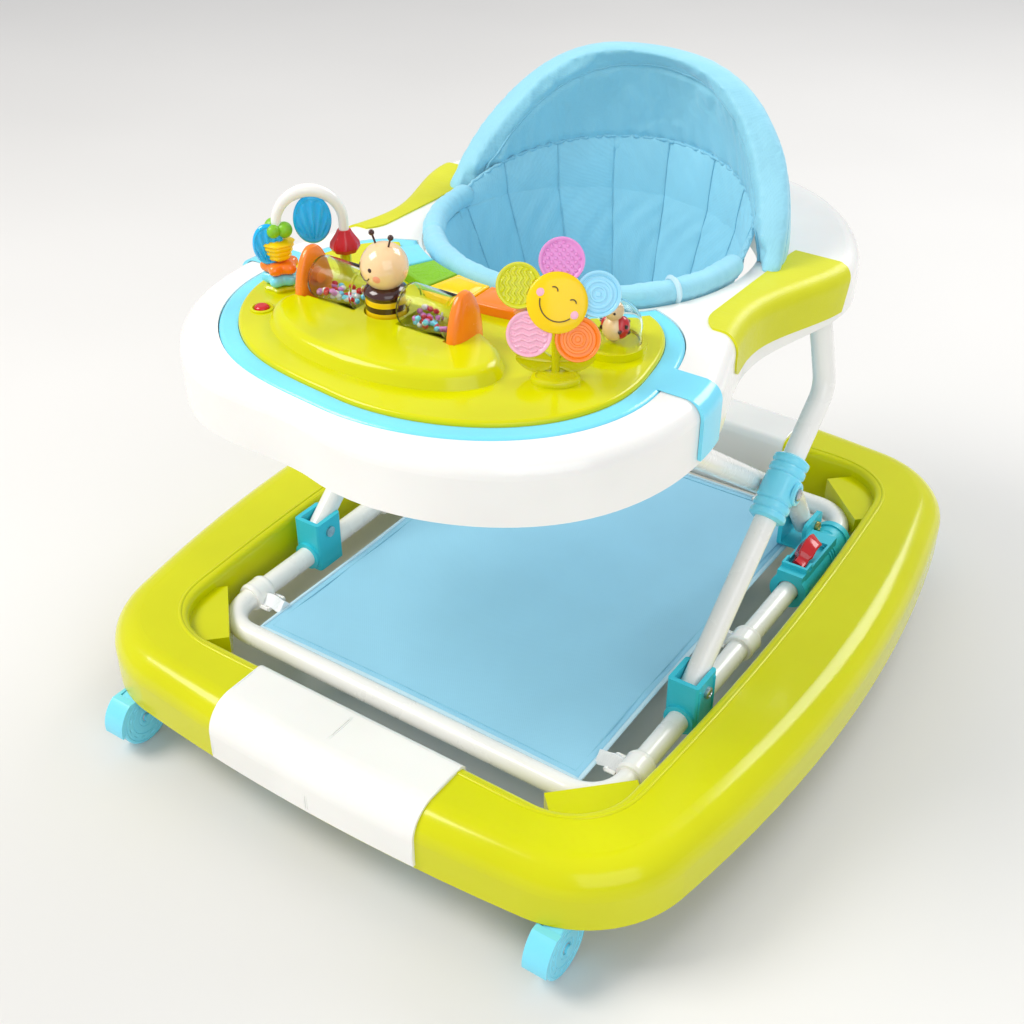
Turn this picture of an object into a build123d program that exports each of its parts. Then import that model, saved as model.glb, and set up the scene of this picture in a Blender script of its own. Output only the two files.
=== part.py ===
from build123d import *
import math
import os

os.makedirs("parts", exist_ok=True)

# A baby walker: a wide ring on four casters, a scissor height frame on a tube loop,
# and a seat tray that carries a cloth seat and a lift-off play tray.
# Millimetres. +X is the sitting child's left, -Y the play tray's end, +Z up, floor at Z = 0.

# ---------------------------------------------------------------- driving dimensions
# casters, which carry the ring's lower edge
wheel_r = 27.0
wheel_width = 17.0
ring_bottom = 2 * wheel_r

# base ring
ring_half_x = 276.0          # outline corner, before the sides bow out
ring_half_y = 342.0
ring_side_bow = 44.0
ring_end_bow = 20.0
ring_corner = 105.0
lip_half_x = 224.0           # inner opening
lip_half_y = 292.0
lip_side_bow = 14.0
lip_end_bow = 0.5
lip_corner = 55.0
ring_top = 110.0
ring_wall = 3.0
ring_crown = 26.0            # fillet along the outer top edge
lip_round = 6.0

# stopper pads and strips
pad_half_width = 107.0
pad_skin = 2.5
strip_length = 60.0
strip_width = 24.0
strip_drop = 8.0

# tube loop and foot mat
tube_r = 10.0
side_tube_x = 208.0
loop_half_y = 243.0
loop_bend = 35.0
loop_z = 81.0
loop_joint_y = 196.0
mat_half_x = 173.5
mat_half_y = 227.0
mat_z = 76.0
mat_thick = 4.0
collar_wall = 4.0
collar_length = 22.0
tab_width = 18.0
rear_tab_x = 120.0

# caster housings
caster_trail = 24.0
caster_x = 226.0
caster_y = 314.0
stem_r = 5.0
axle_r = 4.0
hood_gap = 1.0
hood_wall = 3.0

# scissor frame, all pivots on axes along X
pin_y = -103.5               # leg A's lower pin
pin_z = 106.0
cross_y = 38.7               # where the legs cross
cross_z = 228.6
bend_a_y = 115.0             # leg A's upper bend, in line with its pin and the crossing
bend_a_z = pin_z + (bend_a_y - pin_y) * (cross_z - pin_z) / (cross_y - pin_y)
top_a_x = 190.0              # leg A's top leans inwards to its hinge
top_a_y = 114.0
top_a_z = 386.0
slide_pin_y = 182.0          # leg B's lower pin, on the slider
slide_pin_z = 100.0
bend_b_y = 150.7
bend_b_z = 146.2
top_b_y = -150.0
top_b_z = 367.5
pin_r = 3.0
head_r = 5.5
leg_bend = 30.0
leg_end = 6.0                # tube past its pin
run_gap = 0.06               # pin in a tube
fork_gap = 0.4               # tube beside a cheek
cheek = 4.5
bracket_length = 34.0
barrel_wall = 6.5
barrel_r = tube_r + barrel_wall
leg_gap = 1.0
leg_b_x = side_tube_x - barrel_r - tube_r - leg_gap
barrel_length = 60.0
crossbar_r = 7.0

# sliders and latches
slider_play = 2.0            # room for the slider to rock as the legs turn
slider_wall = 5.0
slider_bore = tube_r + slider_play
slider_r = slider_bore + slider_wall
slider_front = 94.0
slider_rear = 200.0
latch_y = 128.0
latch_z = 102.0
latch_width = 20.0
latch_length = 40.0
latch_pivot_y = 112.5
latch_pivot_z = 100.5
latch_pin_r = 2.0
latch_play = 0.35
latch_knuckle_r = 4.5
cheek_half = latch_width / 2 + 3   # half the width of the block the latch sits in

# seat tray
tray_half_front = 217.0
tray_waist = 185.0
tray_lobe = 214.0
tray_front_y = -321.0
tray_rear_y = 292.0
tray_rim_z = 357.0
tray_rear_rim_z = 380.0
tray_top_z = 408.0
tray_wall = 3.0
tray_round = 14.0
seat_y = 53.0                # centre of the seat opening
seat_r = 147.0
rim_roll_r = 10.0
slot_low = 1.2
slot_high = 3.6
rail_x = 160.0
rail_thick = 3.0

# seat cloth
sling_gap = 13.0             # from the seat opening's edge
sling_top_r = seat_r - sling_gap
sling_base_x = 78.0
sling_base_y = 88.0
sling_base_shift = 18.0
sling_floor_z = 232.0
sling_thick = 3.0
leg_hole_r = 46.0
back_overlap = 21.0          # backrest's foot, past the opening's edge
back_base_r = seat_r + back_overlap
back_top_r = 102.0
back_height = 143.0
back_thick = 28.0
back_foot_z = 410.0
brim_y = 67.0
brim_lean = 34.0             # degrees from upright

# play tray
play_floor = 398.0
play_gap = 0.4
play_rear_r = seat_r + tray_wall + play_gap    # concave rear edge, about the seat's centre
trim_top = 409.0
panel_top = 413.0
trim_band = 15.0
trim_edge = 4.0
panel_edge = 3.0
clip_y = -135.0
clip_width = 34.0
clip_thick = 3.0
clip_low = 362.0
island_x = -18.0
island_y = -212.0
island_rx = 104.0
island_ry = 54.0
island_top = 425.0
island_taper = 25.0          # degrees, sides leaning in
island_edge = 9.0
drum_r = 17.0
drum_half = 22.0
drum_z = 436.0
drum_y = -186.0
drum_left_x = -78.0
drum_right_x = 8.0
roller_axle_r = 2.5
bee_x = -35.0
bee_r = 16.0
bee_top = 446.0
bee_head_r = 18.5
bee_head_z = 461.0
cap_thick = 11.0
cap_half = 19.0
key_margin = 3.1             # from the play tray's rear edge
key_in_r = play_rear_r + key_margin
key_length = 31.5
key_out_r = key_in_r + key_length
key_pitch = 13.0             # degrees
key_middle = -12.5
key_top = 421.0
key_thick = 12.0
side_gap = 0.4
button_x = -132.0
button_y = -221.0
button_r = 6.0
button_travel = 2.0
arch_ax = -146.0
arch_ay = -182.0
arch_bx = -108.0
arch_by = -146.0
arch_r = 4.0
arch_foot_z = 413.0
arch_spring_z = 466.0
flower_x = 119.0
flower_y = -188.0
flower_z = 474.0
flower_face_r = 21.0
petal_r = 16.0
petal_reach = 33.0
flower_turn = 34.0
flower_tilt = 25.0
dome_x = 126.0
dome_y = -121.0
dome_r = 22.0
dome_wall = 1.5
dome_base = 417.0
collar_top = 419.0
collar_extra = 4.0


# ---------------------------------------------------------------- helpers
def save(name, shape):
    export_step(shape, "parts/" + name + ".step")


def bowed_face(half_x, half_y, side_bow, end_bow, corner):
    # four corners joined by shallow arcs, with rounded corners
    fl = (-half_x, -half_y)
    fr = (half_x, -half_y)
    rr = (half_x, half_y)
    rl = (-half_x, half_y)
    edges = [
        ThreePointArc(fl, (0, -half_y - end_bow), fr),
        ThreePointArc(fr, (half_x + side_bow, 0), rr),
        ThreePointArc(rr, (0, half_y + end_bow), rl),
        ThreePointArc(rl, (-half_x - side_bow, 0), fl),
    ]
    face = make_face(edges)
    return fillet(face.vertices(), corner)


def mirrored_loop(half, grow):
    # a closed smooth outline from its right half, front to rear, moved outwards by grow
    points = half + [(-x, y) for x, y in reversed(half) if x > 0]
    moved = []
    for i, (x, y) in enumerate(points):
        before = points[i - 1]
        after = points[(i + 1) % len(points)]
        run_x = after[0] - before[0]
        run_y = after[1] - before[1]
        length = math.hypot(run_x, run_y)
        moved.append((x + grow * run_y / length, y - grow * run_x / length))
    return make_face(Spline(*moved, periodic=True))


def block(x0, x1, y0, y1, z0, z1):
    centre = Pos((x0 + x1) / 2, (y0 + y1) / 2, (z0 + z1) / 2)
    return centre * Box(abs(x1 - x0), abs(y1 - y0), abs(z1 - z0))


def rod(start, end, radius):
    run = Vector(*end) - Vector(*start)
    return extrude(Plane(origin=start, z_dir=run) * Circle(radius), run.length)


def bar_x(x0, x1, y, z, radius):
    return rod((x0, y, z), (x1, y, z), radius)


def pipe(points, bends, radius):
    path = FilletPolyline(*points, radius=bends)
    section = Plane(origin=path @ 0, z_dir=path % 0) * Circle(radius)
    return sweep(section, path)


def upright(x, y, z0, z1, radius):
    return rod((x, y, z0), (x, y, z1), radius)


def both_sides(shape):
    return [shape, mirror(shape, about=Plane.YZ)]


# ---------------------------------------------------------------- base ring
def outer_face(grow):
    return bowed_face(ring_half_x + grow, ring_half_y + grow, ring_side_bow, ring_end_bow, ring_corner + grow)


def lip_face(grow):
    return bowed_face(lip_half_x + grow, lip_half_y + grow, lip_side_bow, lip_end_bow, lip_corner + grow)


def ring_band(grow):
    # the ring's solid outer shape, grown by a skin's thickness
    band = extrude(Pos(0, 0, ring_bottom) * (outer_face(grow) - lip_face(-grow)),
                   ring_top - ring_bottom + grow)
    top = band.faces().sort_by(Axis.Z)[-1]
    loops = sorted(top.wires(), key=lambda w: w.length)
    band = fillet(loops[1].edges(), ring_crown + grow)
    top = band.faces().sort_by(Axis.Z)[-1]
    loops = sorted(top.wires(), key=lambda w: w.length)
    return fillet(loops[0].edges(), lip_round + grow)


def base_ring():
    ring = ring_band(0)
    hollow = extrude(Pos(0, 0, ring_bottom) * (outer_face(-ring_wall) - lip_face(ring_wall)),
                     ring_top - ring_bottom - ring_wall)
    top = hollow.faces().sort_by(Axis.Z)[-1]
    loops = sorted(top.wires(), key=lambda w: w.length)
    hollow = fillet(loops[1].edges(), ring_crown - ring_wall)
    ring = ring - hollow
    inside = ring_band(-1)
    for sx in (-1, 1):
        for sy in (-1, 1):
            boss = upright(sx * caster_x, sy * caster_y, ring_bottom + 2, ring_top - ring_wall, 2 * stem_r)
            boss = boss & inside
            ring = ring + boss
            ring = ring - upright(sx * caster_x, sy * caster_y, ring_bottom,
                                  ring_top - 4 * ring_wall, stem_r + run_gap)
    for socket in corner_sockets():
        ring = ring + socket
    return ring


def stopper_pad(side):
    reach = ring_half_y + ring_end_bow + 2 * pad_skin
    window = block(-pad_half_width, pad_half_width, side * (lip_half_y - 20), side * reach,
                   ring_bottom + 4, ring_top + 2 * pad_skin)
    return (ring_band(pad_skin) & window) - ring_band(0)


def grip_strips():
    strips = []
    y0 = ring_half_y + ring_end_bow - 12 - strip_width
    for side in (-1, 1):
        for end in (-1, 1):
            x0 = end * (pad_half_width - strip_length)
            x1 = end * pad_half_width
            foot = block(x0, x1, side * y0, side * (y0 + strip_width),
                         ring_bottom - strip_drop, ring_bottom + 4)
            rib = block(x0 + end * 4, x1 - end * 4, side * (y0 + 9), side * (y0 + 12),
                        ring_bottom + 4, ring_top - 4 * ring_wall)
            strips.append(foot + rib)
    return Compound(children=strips)


# ---------------------------------------------------------------- tube loop and mat
def side_tube(side):
    x = side * side_tube_x
    return rod((x, -loop_joint_y, loop_z), (x, loop_joint_y, loop_z), tube_r)


def cross_tube(side):
    x = side_tube_x
    points = [(-x, side * loop_joint_y, loop_z), (-x, side * loop_half_y, loop_z),
              (x, side * loop_half_y, loop_z), (x, side * loop_joint_y, loop_z)]
    return pipe(points, loop_bend, tube_r)


def corner_sockets():
    # blocks that hold the tube loop's bends, moulded with the ring
    window = extrude(Pos(0, 0, ring_bottom + 6) * lip_face(ring_wall / 2), 38)
    tubes = cross_tube(-1) + cross_tube(1)
    blocks = []
    for sx in (-1, 1):
        for sy in (-1, 1):
            wedge = Pos(sx * 213, sy * 262, loop_z) * Rot(0, 0, sx * sy * -45) * Box(76, 50, 60)
            solid = (wedge & window) - tubes
            blocks.append(solid.solids().sort_by(SortBy.VOLUME)[-1])
    return blocks


def foot_mat():
    mat = block(-mat_half_x, mat_half_x, -mat_half_y, mat_half_y, mat_z - mat_thick / 2, mat_z + mat_thick / 2)
    return fillet(mat.edges().filter_by(Axis.Z), 8)


def collar_spots():
    # each collar's centre and the direction of its tube
    spots = []
    for sx in (-1, 1):
        spots.append((sx * side_tube_x, -loop_joint_y + 2, (0, 1, 0)))
        spots.append((sx * side_tube_x, 0.0, (0, 1, 0)))
        spots.append((sx * rear_tab_x, loop_half_y, (1, 0, 0)))
    return spots


def mat_collars():
    rings = []
    for x, y, along in collar_spots():
        middle = Vector(x, y, loop_z)
        half = Vector(*along) * (collar_length / 2)
        sleeve = rod(tuple(middle - half), tuple(middle + half), tube_r + collar_wall)
        core = rod(tuple(middle - half * 1.1), tuple(middle + half * 1.1), tube_r)
        rings.append(sleeve - core)
    return Compound(children=rings)


def mat_tabs():
    strips = []
    half = tab_width / 2
    drop = loop_z - mat_z - 1
    near = math.sqrt((tube_r + collar_wall) ** 2 - drop ** 2)
    for x, y, along in collar_spots():
        if along[1]:
            side = math.copysign(1, x)
            strips.append(block(side * mat_half_x, side * (side_tube_x - near),
                                y - half, y + half, mat_z - 1, mat_z + 1))
        else:
            strips.append(block(x - half, x + half, mat_half_y, loop_half_y - near - 0.2,
                                mat_z - 1, mat_z + 1))
    return Compound(children=strips)


def leg_bracket(side):
    x = side * side_tube_x
    half = tube_r + fork_gap + cheek
    y0 = pin_y - bracket_length / 2
    y1 = pin_y + bracket_length / 2
    body = block(x - half, x + half, y0, y1, loop_z - tube_r - 4, pin_z + 14)
    body = fillet(body.edges().filter_by(Axis.Z), 3)
    slot = block(x - tube_r - fork_gap, x + tube_r + fork_gap, y0 + cheek, y1 + 5,
                 loop_z + tube_r + 1, pin_z + 30)
    body = body - slot
    body = body - rod((x, y0 - 1, loop_z), (x, y1 + 1, loop_z), tube_r)
    return body - bar_x(x - 2 * half, x + 2 * half, pin_y, pin_z, pin_r)


def headed_pin(x0, x1, y, z):
    shank = bar_x(x0, x1, y, z, pin_r)
    return shank + bar_x(x0 - 2, x0, y, z, head_r) + bar_x(x1, x1 + 2, y, z, head_r)


def bracket_pins():
    half = tube_r + fork_gap + cheek
    pin = headed_pin(side_tube_x - half, side_tube_x + half, pin_y, pin_z)
    return Compound(children=both_sides(pin))


# ---------------------------------------------------------------- casters
def caster_hood(sx, sy):
    x = sx * caster_x
    y = sy * caster_y
    axle_y = y + sy * caster_trail
    shell_r = wheel_r + hood_gap + hood_wall
    x0 = x - wheel_width / 2 - hood_gap - hood_wall
    x1 = x + wheel_width / 2 + hood_gap
    shell = bar_x(x0, x1, axle_y, wheel_r, shell_r)
    shell = shell - bar_x(x - wheel_width / 2 - hood_gap, x1 + 1, axle_y, wheel_r, wheel_r + hood_gap)
    shell = shell & block(x0 - 1, x1 + 1, axle_y - 2 * shell_r, axle_y + 2 * shell_r,
                          wheel_r - 4, ring_bottom - 1)
    cap = upright(x, y, wheel_r + 8, ring_bottom - 1, 14)
    cap = cap - bar_x(x0 - 5, x1 + 10, axle_y, wheel_r, wheel_r + hood_gap)
    stem = upright(x, y, ring_bottom - 2, ring_top - 4 * ring_wall - 1, stem_r)
    axle = bar_x(x0 + 1, x1 + 1, axle_y, wheel_r, axle_r)
    return shell + cap + stem + axle


def caster_wheel(sx, sy):
    x = sx * caster_x
    axle_y = sy * (caster_y + caster_trail)
    x0 = x - wheel_width / 2
    x1 = x + wheel_width / 2
    tyre = bar_x(x0, x1, axle_y, wheel_r, wheel_r)
    tyre = fillet(tyre.edges().filter_by(GeomType.CIRCLE), 2.5)
    tyre = tyre - bar_x(x1 - 2, x1 + 1, axle_y, wheel_r, wheel_r - 5)
    return tyre - bar_x(x0 - 1, x1 + 1, axle_y, wheel_r, axle_r + run_gap)


# ---------------------------------------------------------------- scissor frame
def leg_a(side):
    x = side * side_tube_x
    start = Vector(x, pin_y, pin_z)
    bend = Vector(x, bend_a_y, bend_a_z)
    top = Vector(side * top_a_x, top_a_y, top_a_z)
    foot = start - (bend - start).normalized() * leg_end
    head = top + (top - bend).normalized() * leg_end
    tube = pipe([tuple(foot), tuple(bend), tuple(head)], leg_bend, tube_r)
    tube = tube - bar_x(x - 20, x + 20, pin_y, pin_z, pin_r + run_gap)
    tube = tube - bar_x(x - 40, x + 40, top_a_y, top_a_z, pin_r + run_gap)
    return tube - bar_x(x - 20, x + 20, cross_y, cross_z, pin_r)


def cross_barrels():
    start = Vector(side_tube_x, pin_y, pin_z)
    middle = Vector(side_tube_x, cross_y, cross_z)
    along = (middle - start).normalized()
    half = along * (barrel_length / 2)
    barrel = rod(tuple(middle - half), tuple(middle + half), barrel_r)
    barrel = chamfer(barrel.edges().filter_by(GeomType.CIRCLE), 2)
    barrel = barrel - rod(tuple(middle - half * 1.2), tuple(middle + half * 1.2), tube_r)
    barrel = barrel - bar_x(side_tube_x - 30, side_tube_x + 30, cross_y, cross_z, pin_r)
    return Compound(children=both_sides(barrel))


def cross_pins():
    x0 = leg_b_x - tube_r - 0.6
    x1 = side_tube_x + barrel_r
    pin = bar_x(x0 - 3, x1, cross_y, cross_z, pin_r)
    pin = pin + bar_x(x0 - 3, x0, cross_y, cross_z, head_r) + bar_x(x1, x1 + 2, cross_y, cross_z, head_r)
    return Compound(children=both_sides(pin))


def leg_b(side):
    x = side * leg_b_x
    start = Vector(x, slide_pin_y, slide_pin_z)
    bend = Vector(x, bend_b_y, bend_b_z)
    top = Vector(x, top_b_y, top_b_z)
    foot = start - (bend - start).normalized() * leg_end
    tube = pipe([tuple(foot), tuple(bend), tuple(top)], leg_bend, tube_r)
    tube = tube - bar_x(x - 20, x + 20, slide_pin_y, slide_pin_z, pin_r)
    return tube - bar_x(x - 20, x + 20, cross_y, cross_z, pin_r + run_gap)


def leg_b_crossbar():
    half = leg_b_x - tube_r
    return bar_x(-half, half, top_b_y, top_b_z, crossbar_r)


def slide_pins():
    half = tube_r + fork_gap + cheek
    pin = headed_pin(leg_b_x - half - 0.4, leg_b_x + half + 0.4, slide_pin_y, slide_pin_z)
    return Compound(children=both_sides(pin))


def slider(side):
    x = side * side_tube_x
    fx = side * leg_b_x
    half = tube_r + fork_gap + cheek
    slot = tube_r + fork_gap
    body = rod((x, slider_front, loop_z), (x, slider_rear, loop_z), slider_r)
    body = body + block(x - cheek_half, x + cheek_half, slider_front, slide_pin_y - 8, loop_z, latch_z - 1)
    fork = block(fx - half, fx + half, slide_pin_y - 24, slide_pin_y + 14, loop_z - 2, slide_pin_z + 12)
    fork = fillet(fork.edges().filter_by(Axis.X), 6)
    body = body + fork
    body = body - block(fx - slot, fx + slot, slide_pin_y - 40, slide_pin_y + 40,
                        loop_z + 3, slide_pin_z + 40)
    body = body - rod((x, slider_front - 1, loop_z), (x, slider_rear + 60, loop_z), slider_bore)
    body = body - block(x - latch_width / 2 - 0.5, x + latch_width / 2 + 0.5,
                        latch_y - 18, latch_y + 30, latch_z - 7, latch_z + 40)
    cheeks = block(x - cheek_half, x + cheek_half, latch_y - 25, latch_y - 12, loop_z + 12.5, latch_z + 3)
    slot_half = latch_width / 2 + 0.5
    body = body + cheeks - block(x - slot_half, x + slot_half, latch_y - 22, latch_y, latch_z - 7, latch_z + 9)
    pin_reach = cheek_half + 1
    body = body - bar_x(x - pin_reach, x + pin_reach, latch_pivot_y, latch_pivot_z, latch_pin_r + latch_play)
    head_room = bar_x(fx - half - 4, fx + half + 4, slide_pin_y, slide_pin_z, head_r + 0.5)
    body = body - (head_room - block(fx - half, fx + half, 0, 400, 0, 400))
    return body - bar_x(fx - 40, fx + 40, slide_pin_y, slide_pin_z, pin_r + run_gap)


def latch(side):
    x = side * side_tube_x
    half = latch_width / 2
    y0 = latch_y - 20
    root = block(x - half, x + half, latch_pivot_y, latch_y + 8, latch_z - 6, latch_z + 3)
    root = root + bar_x(x - half, x + half, latch_pivot_y, latch_pivot_z, latch_knuckle_r)
    root = root + bar_x(x - cheek_half, x + cheek_half, latch_pivot_y, latch_pivot_z, latch_pin_r)
    paddle = block(x - half, x + half, latch_y - 6, y0 + latch_length, latch_z - 3, latch_z + 11)
    paddle = fillet(paddle.edges().filter_by(Axis.X), 5)
    return root + paddle


# ---------------------------------------------------------------- seat tray
tray_half = [
    (0, tray_front_y), (tray_half_front * 0.5, tray_front_y + 8), (tray_half_front * 0.86, tray_front_y + 66),
    (tray_half_front, tray_front_y + 155), (tray_half_front * 0.975, -106), (tray_waist, 10),
    (tray_lobe, 122), (tray_lobe * 0.89, 192), (tray_lobe * 0.5, 272), (0, tray_rear_y)]
play_half = [
    (0, tray_front_y + 15), (99, tray_front_y + 33), (157, tray_front_y + 78),
    (184, tray_front_y + 141), (181, -128), (168, -84), (142, -52), (104, -36), (0, -30)]


def tray_solid(grow, low, high):
    return extrude(Pos(0, 0, low) * mirrored_loop(tray_half, grow), high - low)


def rim_cut():
    # what lies below the rim, which rises towards the rear
    run = tray_rear_y + 60
    below_rim = Polyline((0, tray_rim_z), (run, tray_rear_rim_z + 4), (run, 250), (0, 250), close=True)
    side_view = make_face(below_rim)
    return extrude(Plane.YZ * side_view, 300, both=True)


def play_slab(grow, low, high):
    slab = extrude(Pos(0, 0, low) * mirrored_loop(play_half, grow), high - low)
    return slab - upright(0, seat_y, low - 1, high + 1, play_rear_r - grow)


def tray_hollow():
    hollow = tray_solid(-tray_wall, tray_rim_z - 1, tray_top_z - tray_wall)
    return fillet(hollow.faces().sort_by(Axis.Z)[-1].edges(), tray_round - tray_wall)


def tray_shell():
    body = tray_solid(0, tray_rim_z, tray_top_z)
    body = fillet(body.faces().sort_by(Axis.Z)[-1].edges(), tray_round)
    pocket_plate = play_slab(play_gap + tray_wall, play_floor - tray_wall, tray_top_z - 1)
    pocket = play_slab(play_gap, play_floor, tray_top_z + 30)
    body = body - (tray_hollow() - pocket_plate) - pocket
    curb = upright(0, seat_y, tray_top_z - 22, tray_top_z - 1, seat_r + tray_wall)
    body = body + curb
    body = body - upright(0, seat_y, tray_rim_z - 10, tray_top_z + 30, seat_r)
    return body - rim_cut()


def tray_rails():
    plates = []
    low = top_b_z - crossbar_r - slot_low
    high = top_b_z + crossbar_r + slot_high
    for side in (-1, 1):
        x0 = side * (rail_x - rail_thick / 2)
        x1 = side * (rail_x + rail_thick / 2)
        plate = block(x0, x1, top_b_y - 70, top_b_y + 58, low - 3, play_floor - tray_wall)
        slot = block(x0 - 5, x1 + 5, top_b_y - 60, top_b_y + 44, low, high)
        plates.append(plate - slot)
    return plates


def hinge_blocks():
    # a cheek each side of leg A's top, hung from the tray's roof
    blocks = []
    roof = tray_top_z - tray_wall
    for x0, x1 in ((top_a_x - tray_wall - 14.5, top_a_x - 14.5), (top_a_x + 11.9, top_a_x + 14.3)):
        cheek_plate = block(x0, x1, top_a_y - 12, top_a_y + 12, top_a_z - 7, roof)
        cheek_plate = cheek_plate - bar_x(x0 - 1, x1 + 1, top_a_y, top_a_z, pin_r)
        blocks.extend(both_sides(cheek_plate & tray_hollow()))
    return blocks


def hinge_pins():
    pin = bar_x(top_a_x - 18.5, top_a_x + 14.3, top_a_y, top_a_z, pin_r)
    pin = pin + bar_x(top_a_x - 20.5, top_a_x - 17.5, top_a_y, top_a_z, head_r)
    return Compound(children=both_sides(pin))


def grip_panel(side):
    skin = tray_solid(1.5, tray_rim_z + 14, tray_top_z + 1.5)
    skin = fillet(skin.faces().sort_by(Axis.Z)[-1].edges(), tray_round)
    core = tray_solid(0, tray_rim_z, tray_top_z)
    core = fillet(core.faces().sort_by(Axis.Z)[-1].edges(), tray_round)
    window = block(side * 157, side * 240, -52, 142, tray_rim_z + 14, tray_top_z + 10)
    return (skin & window) - core


# ---------------------------------------------------------------- seat cloth
def seat_sling():
    def bowl(grow):
        top = Plane.XY.offset(tray_top_z - 4.3) * Pos(0, seat_y) * Circle(sling_top_r + grow)
        low = Plane.XY.offset(sling_floor_z - grow)
        foot = low * Pos(0, seat_y + sling_base_shift) * Ellipse(sling_base_x + grow, sling_base_y + grow)
        return loft([foot, top])
    bag = bowl(0) - Pos(0, 0, 0.01) * bowl(-sling_thick)
    for side in (-1, 1):
        start = (side * 46, seat_y - 20, sling_floor_z + 45)
        end = (side * 100, seat_y - 200, sling_floor_z + 20)
        bag = bag - rod(start, end, leg_hole_r)
    return bag


def rim_roll():
    section = Plane(origin=(seat_r - rim_roll_r - 0.6, 0, 0), x_dir=(1, 0, 0), z_dir=(0, 1, 0)) * Circle(rim_roll_r)
    arc = 188.0
    roll = revolve(section, Axis.Z, arc)
    return Pos(0, seat_y, tray_top_z + 6) * Rot(0, 0, 180 - (arc - 180) / 2) * roll


def backrest():
    def hump(top_r, base_r, height):
        # a quarter-ellipse section turned about the seat's upright axis
        edge = EllipticalCenterArc((top_r, 0), base_r - top_r, height, start_angle=0, arc_size=90)
        loop = [edge, Line((top_r, height), (0, height)), Line((0, height), (0, 0)), Line((0, 0), (base_r, 0))]
        return revolve(Plane.XZ * make_face(loop), Axis.Z, 360)
    hood = hump(back_top_r, back_base_r, back_height)
    hood = hood - hump(back_top_r - back_thick, back_base_r - back_thick, back_height - back_thick)
    hood = Pos(0, seat_y, back_foot_z - 6) * hood
    slope = math.tan(math.radians(brim_lean))
    top = 200.0
    side_view = make_face(Polyline((brim_y, back_foot_z), (brim_y + slope * top, back_foot_z + top),
                                   (300, back_foot_z + top), (300, back_foot_z), close=True))
    return hood & extrude(Plane.YZ * side_view, 300, both=True)


# ---------------------------------------------------------------- play tray
panel_seat = trim_top - 4.0


def clip_arm(side):
    # an ear that drops over the tray's side
    outer_side = tray_solid(clip_thick + play_gap, clip_low, trim_top)
    outer_side = fillet(outer_side.faces().sort_by(Axis.Z)[-1].edges(), tray_round)
    core = tray_solid(play_gap, clip_low - 1, tray_top_z + play_gap)
    core = fillet(core.faces().sort_by(Axis.Z)[-1].edges(), tray_round)
    half = clip_width / 2
    window = block(side * 176, side * 240, clip_y - half, clip_y + half, clip_low, trim_top + 1)
    arm = (outer_side & window) - core
    return arm.solids().sort_by(SortBy.VOLUME)[-1]


def tray_trim():
    body = play_slab(0, play_floor + play_gap, trim_top)
    body = fillet(body.faces().sort_by(Axis.Z)[-1].edges(), trim_edge)
    body = body - play_slab(-trim_band, panel_seat, trim_top + 5)
    for side in (-1, 1):
        body = body + clip_arm(side)
        bridge = block(side * 170, side * 200, clip_y - clip_width / 2, clip_y + clip_width / 2,
                       tray_top_z + play_gap, trim_top)
        body = body + (bridge & tray_solid(0, tray_top_z, trim_top + 2))
    for angle in key_angles():
        body = body - key_sector(angle, side_gap, play_floor + 4, trim_top + 10)
    return body


def key_angles():
    return [key_middle + key_pitch * (i - 1.5) for i in range(4)]


def key_sector(angle, grow, low, high):
    # a sector of a ring about the seat's centre; angle is from straight ahead
    def at(radius, degrees):
        turn = math.radians(degrees)
        return (radius * math.sin(turn), seat_y - radius * math.cos(turn))
    inner_r = key_in_r - grow
    outer_r = key_out_r + grow
    spread = key_pitch / 2 - 0.35 + math.degrees(grow / key_in_r)
    a0 = angle - spread
    a1 = angle + spread
    loop = [
        ThreePointArc(at(inner_r, a0), at(inner_r, angle), at(inner_r, a1)),
        Line(at(inner_r, a1), at(outer_r, a1)),
        ThreePointArc(at(outer_r, a1), at(outer_r, angle), at(outer_r, a0)),
        Line(at(outer_r, a0), at(inner_r, a0)),
    ]
    return extrude(Pos(0, 0, low) * make_face(loop), high - low)


def key(angle):
    solid = key_sector(angle, 0, key_top - key_thick, key_top)
    return fillet(solid.faces().sort_by(Axis.Z)[-1].edges(), 2)


def play_panel():
    body = play_slab(-trim_band - play_gap, panel_seat, panel_top)
    body = fillet(body.faces().sort_by(Axis.Z)[-1].edges(), panel_edge)
    foot = Pos(island_x, island_y, panel_top - 1) * Ellipse(island_rx, island_ry)
    island = extrude(foot, island_top - panel_top + 1, taper=island_taper)
    island = fillet(island.faces().sort_by(Axis.Z)[-1].edges(), island_edge)
    body = body + island
    for angle in key_angles():
        body = body - key_sector(angle, side_gap, play_floor, panel_top + 10)
    for x in (drum_left_x, drum_right_x):
        body = body - bar_x(x - drum_half - 1, x + drum_half + 1, drum_y, drum_z, drum_r + 2)
    body = body - upright(bee_x, drum_y, panel_top + 1, island_top + 1, bee_r + 1.5)
    body = body - upright(button_x, button_y, panel_seat - 1, panel_top + 1, button_r + side_gap)
    for cap_x in cap_places():
        body = body - cap_solid(cap_x, 0)
    return body + dome_collar()


def cap_places():
    return (drum_left_x - drum_half - 1 - cap_thick / 2, drum_right_x + drum_half + 1 + cap_thick / 2)


def cap_solid(x, grow):
    fin = extrude(Plane(origin=(x - cap_thick / 2, drum_y, panel_top + 3), x_dir=(0, 1, 0), z_dir=(1, 0, 0))
                  * Ellipse(cap_half + grow, 44 + grow), cap_thick)
    return fin & block(x - 20, x + 20, drum_y - 40, drum_y + 40, panel_top + 3, 500)


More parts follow.
